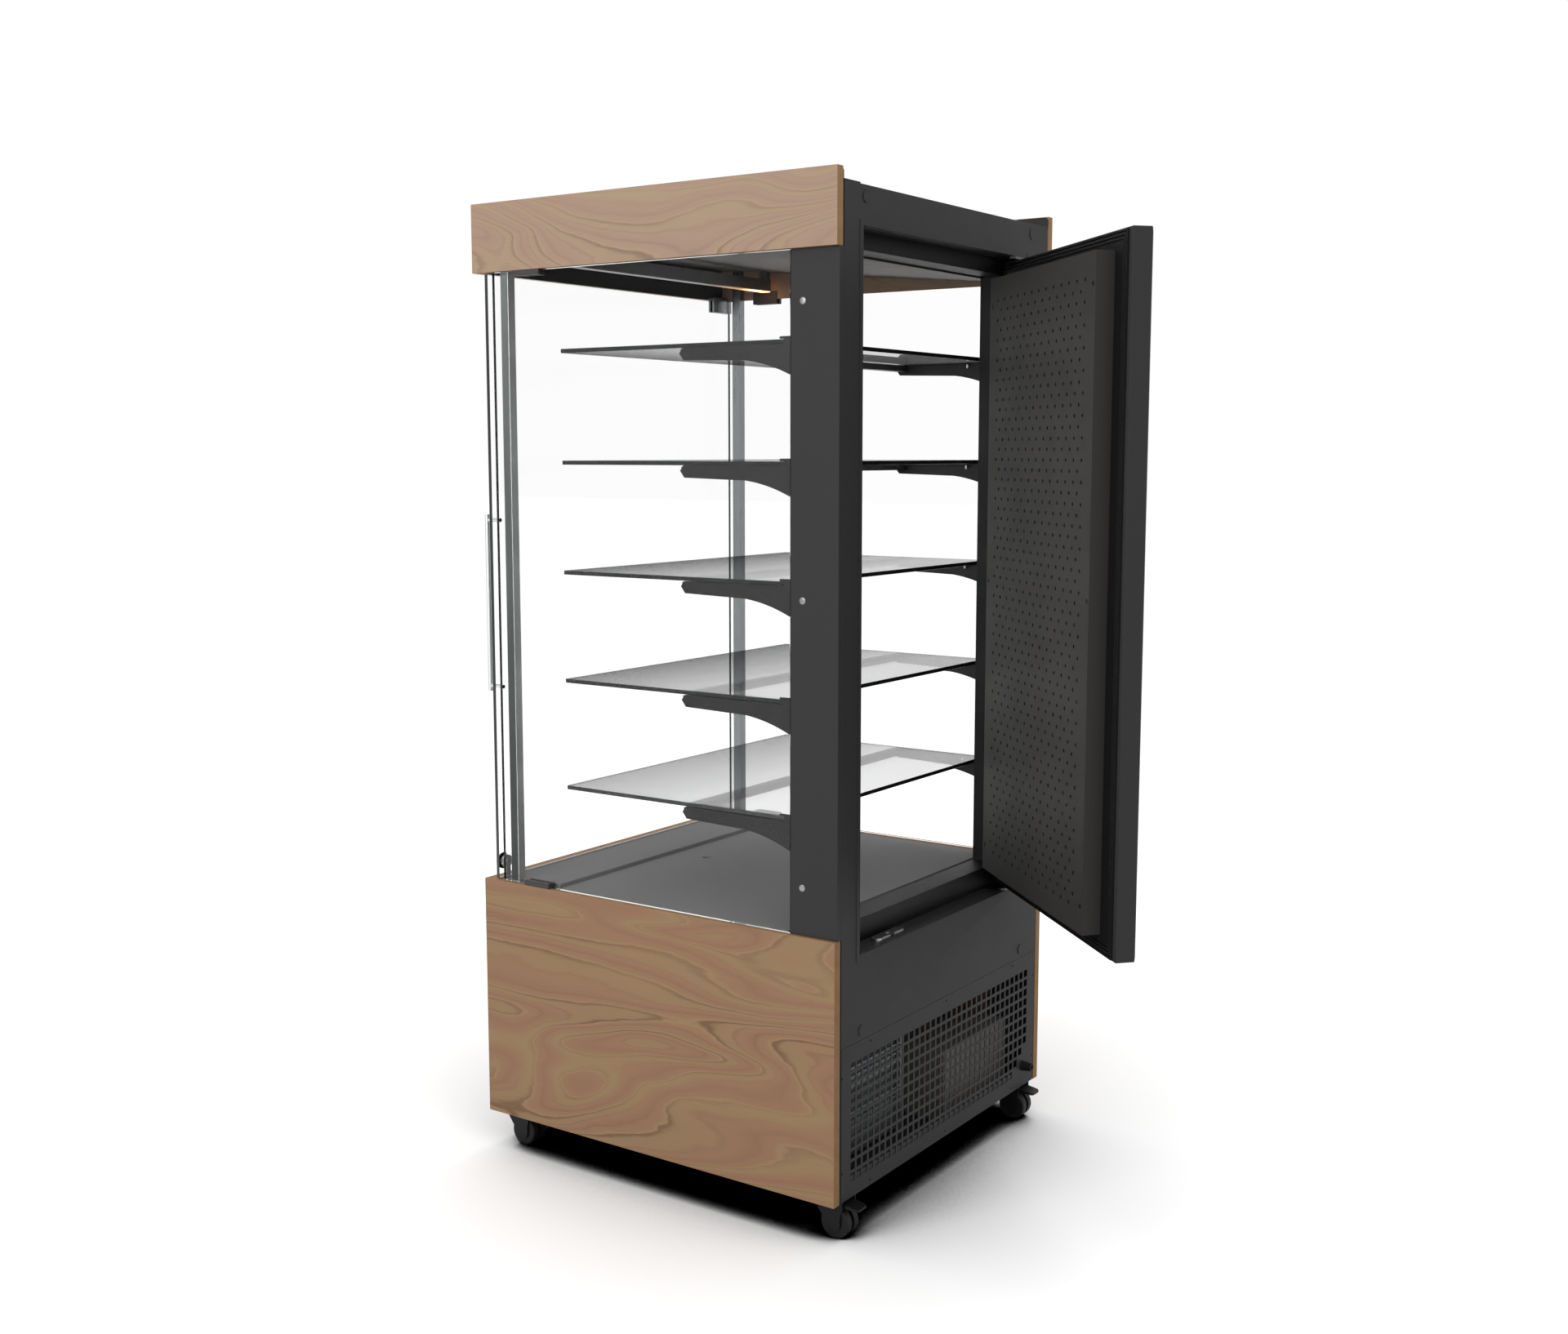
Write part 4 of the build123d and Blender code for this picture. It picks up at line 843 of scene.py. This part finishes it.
# %% The plain edge of the perforated sheet
duct_low, duct_high = (corner.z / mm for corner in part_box("duct_panel"))
sheet_left, sheet_right, sheet_face, sheet_back, sheet = 13.0, 550.7, -72.5, -37.0, 1.2
hole_pitch, row_pitch, hole_radius, row_count, long_row = 37.2, 19.83, 3.5, 58, 13
first_hole = 58.4
top_row = base_lift + 1684.5
field_left = first_hole - hole_pitch / 2
field_right = field_left + long_row * hole_pitch
field_high = top_row + row_pitch / 2
field_low = field_high - row_count * row_pitch


def perforated_border():
    """The sheet without its perforated field: both skins, the two folded sides and the cut edges."""
    work = bmesh.new()

    def flat(u0, u1, z0, z1):
        for v, order in ((sheet_face, 1), (sheet_face + sheet, -1)):
            corners = [(u0, v, z0), (u1, v, z0), (u1, v, z1), (u0, v, z1)][::order]
            work.faces.new([work.verts.new(corner) for corner in corners])

    inner_left, inner_right = sheet_left + sheet, sheet_right - sheet
    flat(inner_left, inner_right, field_high, duct_high)
    flat(inner_left, inner_right, duct_low, field_low)
    flat(inner_left, field_left, field_low, field_high)
    flat(field_right, inner_right, field_low, field_high)
    for row in range(1, row_count, 2):
        z1 = field_high - row * row_pitch
        flat(field_left, field_left + hole_pitch / 2, z1 - row_pitch, z1)
        flat(field_right - hole_pitch / 2, field_right, z1 - row_pitch, z1)
    for z, order in ((duct_low, 1), (duct_high, -1)):
        rim = [(inner_left, sheet_face, z), (inner_left, sheet_face + sheet, z), (inner_right, sheet_face + sheet, z),
               (inner_right, sheet_face, z)][::order]
        work.faces.new([work.verts.new(corner) for corner in rim])
    for u0, u1 in ((sheet_left, inner_left), (inner_right, sheet_right)):
        made = bmesh.ops.create_cube(work, size=1.0)["verts"]
        bmesh.ops.scale(work, vec=(u1 - u0, sheet_back - sheet_face, duct_high - duct_low), verts=made)
        bmesh.ops.translate(work, vec=((u0 + u1) / 2, (sheet_face + sheet_back) / 2, (duct_low + duct_high) / 2),
                            verts=made)
    mesh = bpy.data.meshes.new("perforated_border")
    work.to_mesh(mesh)
    work.free()
    return mesh


def perforated_tile():
    """One hole with the sheet around it, eight quads on each skin and eight in the wall of the hole."""
    work = bmesh.new()
    inner = work.faces.layers.float.new("inner")
    corners = [(1, 0), (1, 1), (0, 1), (-1, 1), (-1, 0), (-1, -1), (0, -1), (1, -1)]
    skins = []
    for v in (sheet_face, sheet_face + sheet):
        edge = [work.verts.new((a * hole_pitch / 2, v, b * row_pitch / 2)) for a, b in corners]
        ring = [work.verts.new((hole_radius * cos(pi * i / 4), v, hole_radius * sin(pi * i / 4))) for i in range(8)]
        skins.append((edge, ring))
    for i in range(8):
        j = (i + 1) % 8
        for (edge, ring), order in zip(skins, (1, -1)):
            work.faces.new([edge[i], edge[j], ring[j], ring[i]][::order])
        work.faces.new((skins[0][1][i], skins[0][1][j], skins[1][1][j], skins[1][1][i]))[inner] = 1.0
    mesh = bpy.data.meshes.new("perforated_tile")
    work.to_mesh(mesh)
    work.free()
    return mesh


# %% The tree that lays out the holes
rows_tree, start, end = new_tree("staggered_holes", [
    ("Part", "Object"), ("Columns", "Int"), ("Row pairs", "Int"), ("Pitch", "Float"), ("Row pitch", "Float"),
    ("Middle", "Vector"), ("Material", "Material"), ("Inner material", "Material")])
tile = add_node(rows_tree, "GeometryNodeObjectInfo", Object=start["Part"])
pair_step = math(rows_tree, "MULTIPLY", start["Row pitch"], 2.0)
height = math(rows_tree, "MULTIPLY", math(rows_tree, "SUBTRACT", start["Row pairs"], 1.0), pair_step)
fields = []
for fewer, shift in ((0.0, 0.5), (1.0, -0.5)):
    count = math(rows_tree, "SUBTRACT", start["Columns"], fewer)
    width = math(rows_tree, "MULTIPLY", math(rows_tree, "SUBTRACT", count, 1.0), start["Pitch"])
    grid = add_node(rows_tree, "GeometryNodeMeshGrid", Size__X=width, Size__Y=height, Vertices__X=count,
                    Vertices__Y=start["Row pairs"])
    upright = add_node(rows_tree, "GeometryNodeTransform", Geometry=grid.outputs[0], Rotation=(radians(90), 0, 0))
    lift = add_node(rows_tree, "ShaderNodeCombineXYZ", Z=math(rows_tree, "MULTIPLY", start["Row pitch"], shift))
    centre = add_node(rows_tree, "ShaderNodeVectorMath", _0=start["Middle"], _1=lift.outputs[0])
    moved = add_node(rows_tree, "GeometryNodeTransform", Geometry=upright.outputs[0], Translation=centre.outputs[0])
    tiles = add_node(rows_tree, "GeometryNodeInstanceOnPoints", Points=moved.outputs[0],
                     Instance=tile.outputs["Geometry"])
    fields.append(tiles.outputs[0])
joined = rows_tree.nodes.new("GeometryNodeJoinGeometry")
for part in fields + [start["Geometry"]]:
    rows_tree.links.new(part, joined.inputs[0])
solid = add_node(rows_tree, "GeometryNodeRealizeInstances", Geometry=joined.outputs[0])
welded = add_node(rows_tree, "GeometryNodeMergeByDistance", Geometry=solid.outputs[0], Distance=0.01)
skin = add_node(rows_tree, "GeometryNodeSetMaterial", Geometry=welded.outputs[0], Material=start["Material"])
inner_faces = rows_tree.nodes.new("GeometryNodeInputNamedAttribute")
inner_faces.data_type = "FLOAT"
inner_faces.inputs["Name"].default_value = "inner"
# The walls of the holes get the near-black tunnel finish as painted shade, so that the holes read dark.
walls = add_node(rows_tree, "GeometryNodeSetMaterial", Geometry=skin.outputs[0],
                 Selection=[s for s in inner_faces.outputs if s.type == "VALUE"][0],
                 Material=start["Inner material"])
rows_tree.links.new(walls.outputs[0], end["Geometry"])

# %% The perforated duct
middle = ((field_left + field_right) / 2, 0.0, (field_low + field_high) / 2)
duct = grown("perforated_duct", rows_tree, perforated_border(), {
    "Columns": long_row, "Row pairs": row_count // 2, "Pitch": hole_pitch, "Row pitch": row_pitch, "Middle": middle,
    "Material": panel_paint, "Inner material": tunnel_black_and_hole_shade}, perforated_tile())
hung(duct.data)
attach(duct, nodes["duct_panel"]["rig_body"])
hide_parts("duct_panel")
print("perforated duct:", len(duct.data.polygons), "faces")

# %% Screws on the duct
screw_inset, duct_screw_heights = 11.0, (1674.0, 1117.0, 560.0)
duct_screws = [(door_point(u, sheet_face, base_lift + z), door_way(0, -1)) for z in duct_screw_heights
               for u in (sheet_left + screw_inset, sheet_right - screw_inset)]
flat_head = lathe("flat_head", [(0, -0.2), (5.2, -0.2), (5.2, 0.3), (4.4, 0.9), (2.2, 1.1), (2.0, 0.4), (0, 0.4)], 20)
small_parts("duct_screws", flat_head, duct_screws, black_plastic, "service_door")

# %% [markdown]
# The door's seal is a black extrusion with three lips and two grooves, welded into a rectangle. We lay its
# profile across all four sides at once: a point of the profile is a share of the way from the inner to the
# outer rectangle, so the corners come out mitred. It stands for the plain ring of the CAD model.

# %% Gasket
slab_left, slab_right, slab_inner = -5.0, 620.6, -35.5
slab_low, slab_high = (corner.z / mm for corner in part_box("service_door"))
gasket_inner = (slab_left + 15.0, slab_right - 32.6, slab_low + 19.6, slab_high - 18.6)
gasket_outer = (slab_left + 2.0, slab_right - 14.6, slab_low + 1.6, slab_high - 2.6)
seal_profile = [(0.0, 0.0), (0.0, 3.9), (0.10, 4.0), (0.20, 3.7), (0.24, 0.9), (0.34, 0.9), (0.38, 3.6), (0.50, 4.0),
                (0.62, 3.6), (0.66, 0.9), (0.76, 0.9), (0.80, 3.7), (0.90, 4.0), (1.0, 3.9), (1.0, 0.0)]


def ring_from_profile(name, inner, outer, profile, base):
    """A mitred rectangle on the door's inner face; inner and outer are (left, right, low, high)."""
    work = bmesh.new()
    loops = []
    for share, rise in profile:
        left_u, right_u, low_z, high_z = (a + (b - a) * share for a, b in zip(inner, outer))
        v = base - rise
        loops.append([work.verts.new(corner) for corner in ((left_u, v, low_z), (right_u, v, low_z),
                                                            (right_u, v, high_z), (left_u, v, high_z))])
    for i, loop in enumerate(loops):
        following = loops[(i + 1) % len(loops)]
        for k in range(4):
            m = (k + 1) % 4
            work.faces.new((loop[k], loop[m], following[m], following[k]))
    bmesh.ops.recalc_face_normals(work, faces=work.faces)
    mesh = bpy.data.meshes.new(name)
    work.to_mesh(mesh)
    work.free()
    return mesh


seal_mesh = hung(ring_from_profile("door_seal", gasket_inner, gasket_outer, seal_profile, slab_inner))
seal_mesh.materials.append(black_rubber)
seal = bpy.data.objects.new("door_seal", seal_mesh)
bpy.context.scene.collection.objects.link(seal)
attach(seal, nodes["door_gasket"]["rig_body"])
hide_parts("door_gasket")

# %% [markdown]
# ## Pegs and wheels
# The shelves rest on bright pins with a black collar. Their places follow from each glass shelf's own box. Every
# wheel has a raised hub ring on its outer face.

# %% Shelf pegs
in_from_edge, first_in, second_in, peg_drop = 7, 15, 50, 2
peg_spots = []
for shelf in shelf_names:
    low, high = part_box(shelf)
    for x in (low.x + in_from_edge * mm, high.x - in_from_edge * mm):
        for y in (high.y - second_in * mm, high.y - first_in * mm):
            peg_spots.append((Vector((x, y, low.z - peg_drop * mm)), down))
pin_shape = lathe("pin", [(0, 0), (2.6, 0), (2.6, 8.6), (1.9, 9.8), (0, 10.0)], 14)
collar_shape = lathe("collar", [(0, 0), (4.6, 0), (4.6, 1.6), (4.0, 2.2), (2.7, 2.2), (2.7, 1.0), (0, 1.0)], 16)
pins = small_parts("shelf_pins", pin_shape, peg_spots, satin, "cabinet")
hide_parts("shelf_pegs")
small_parts("shelf_collars", collar_shape, peg_spots, black_plastic, "cabinet")

# %% Hub rings
hub_shape = lathe("hub", [(0, -0.2), (13.5, -0.2), (13.5, 0.5), (12.5, 0.9), (11.0, 0.9), (10.0, 0.2), (6.5, 0.2),
                          (5.5, 1.0), (0, 1.2)], 28)
for node in [name for name in nodes if name.startswith("caster_wheels")]:
    low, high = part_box(node)
    centre = (low + high) / 2
    hubs = [(Vector((high.x, centre.y, centre.z)), right), (Vector((low.x, centre.y, centre.z)), left)]
    small_parts(node + "_hubs", hub_shape, hubs, caster_black, nodes[node]["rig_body"])
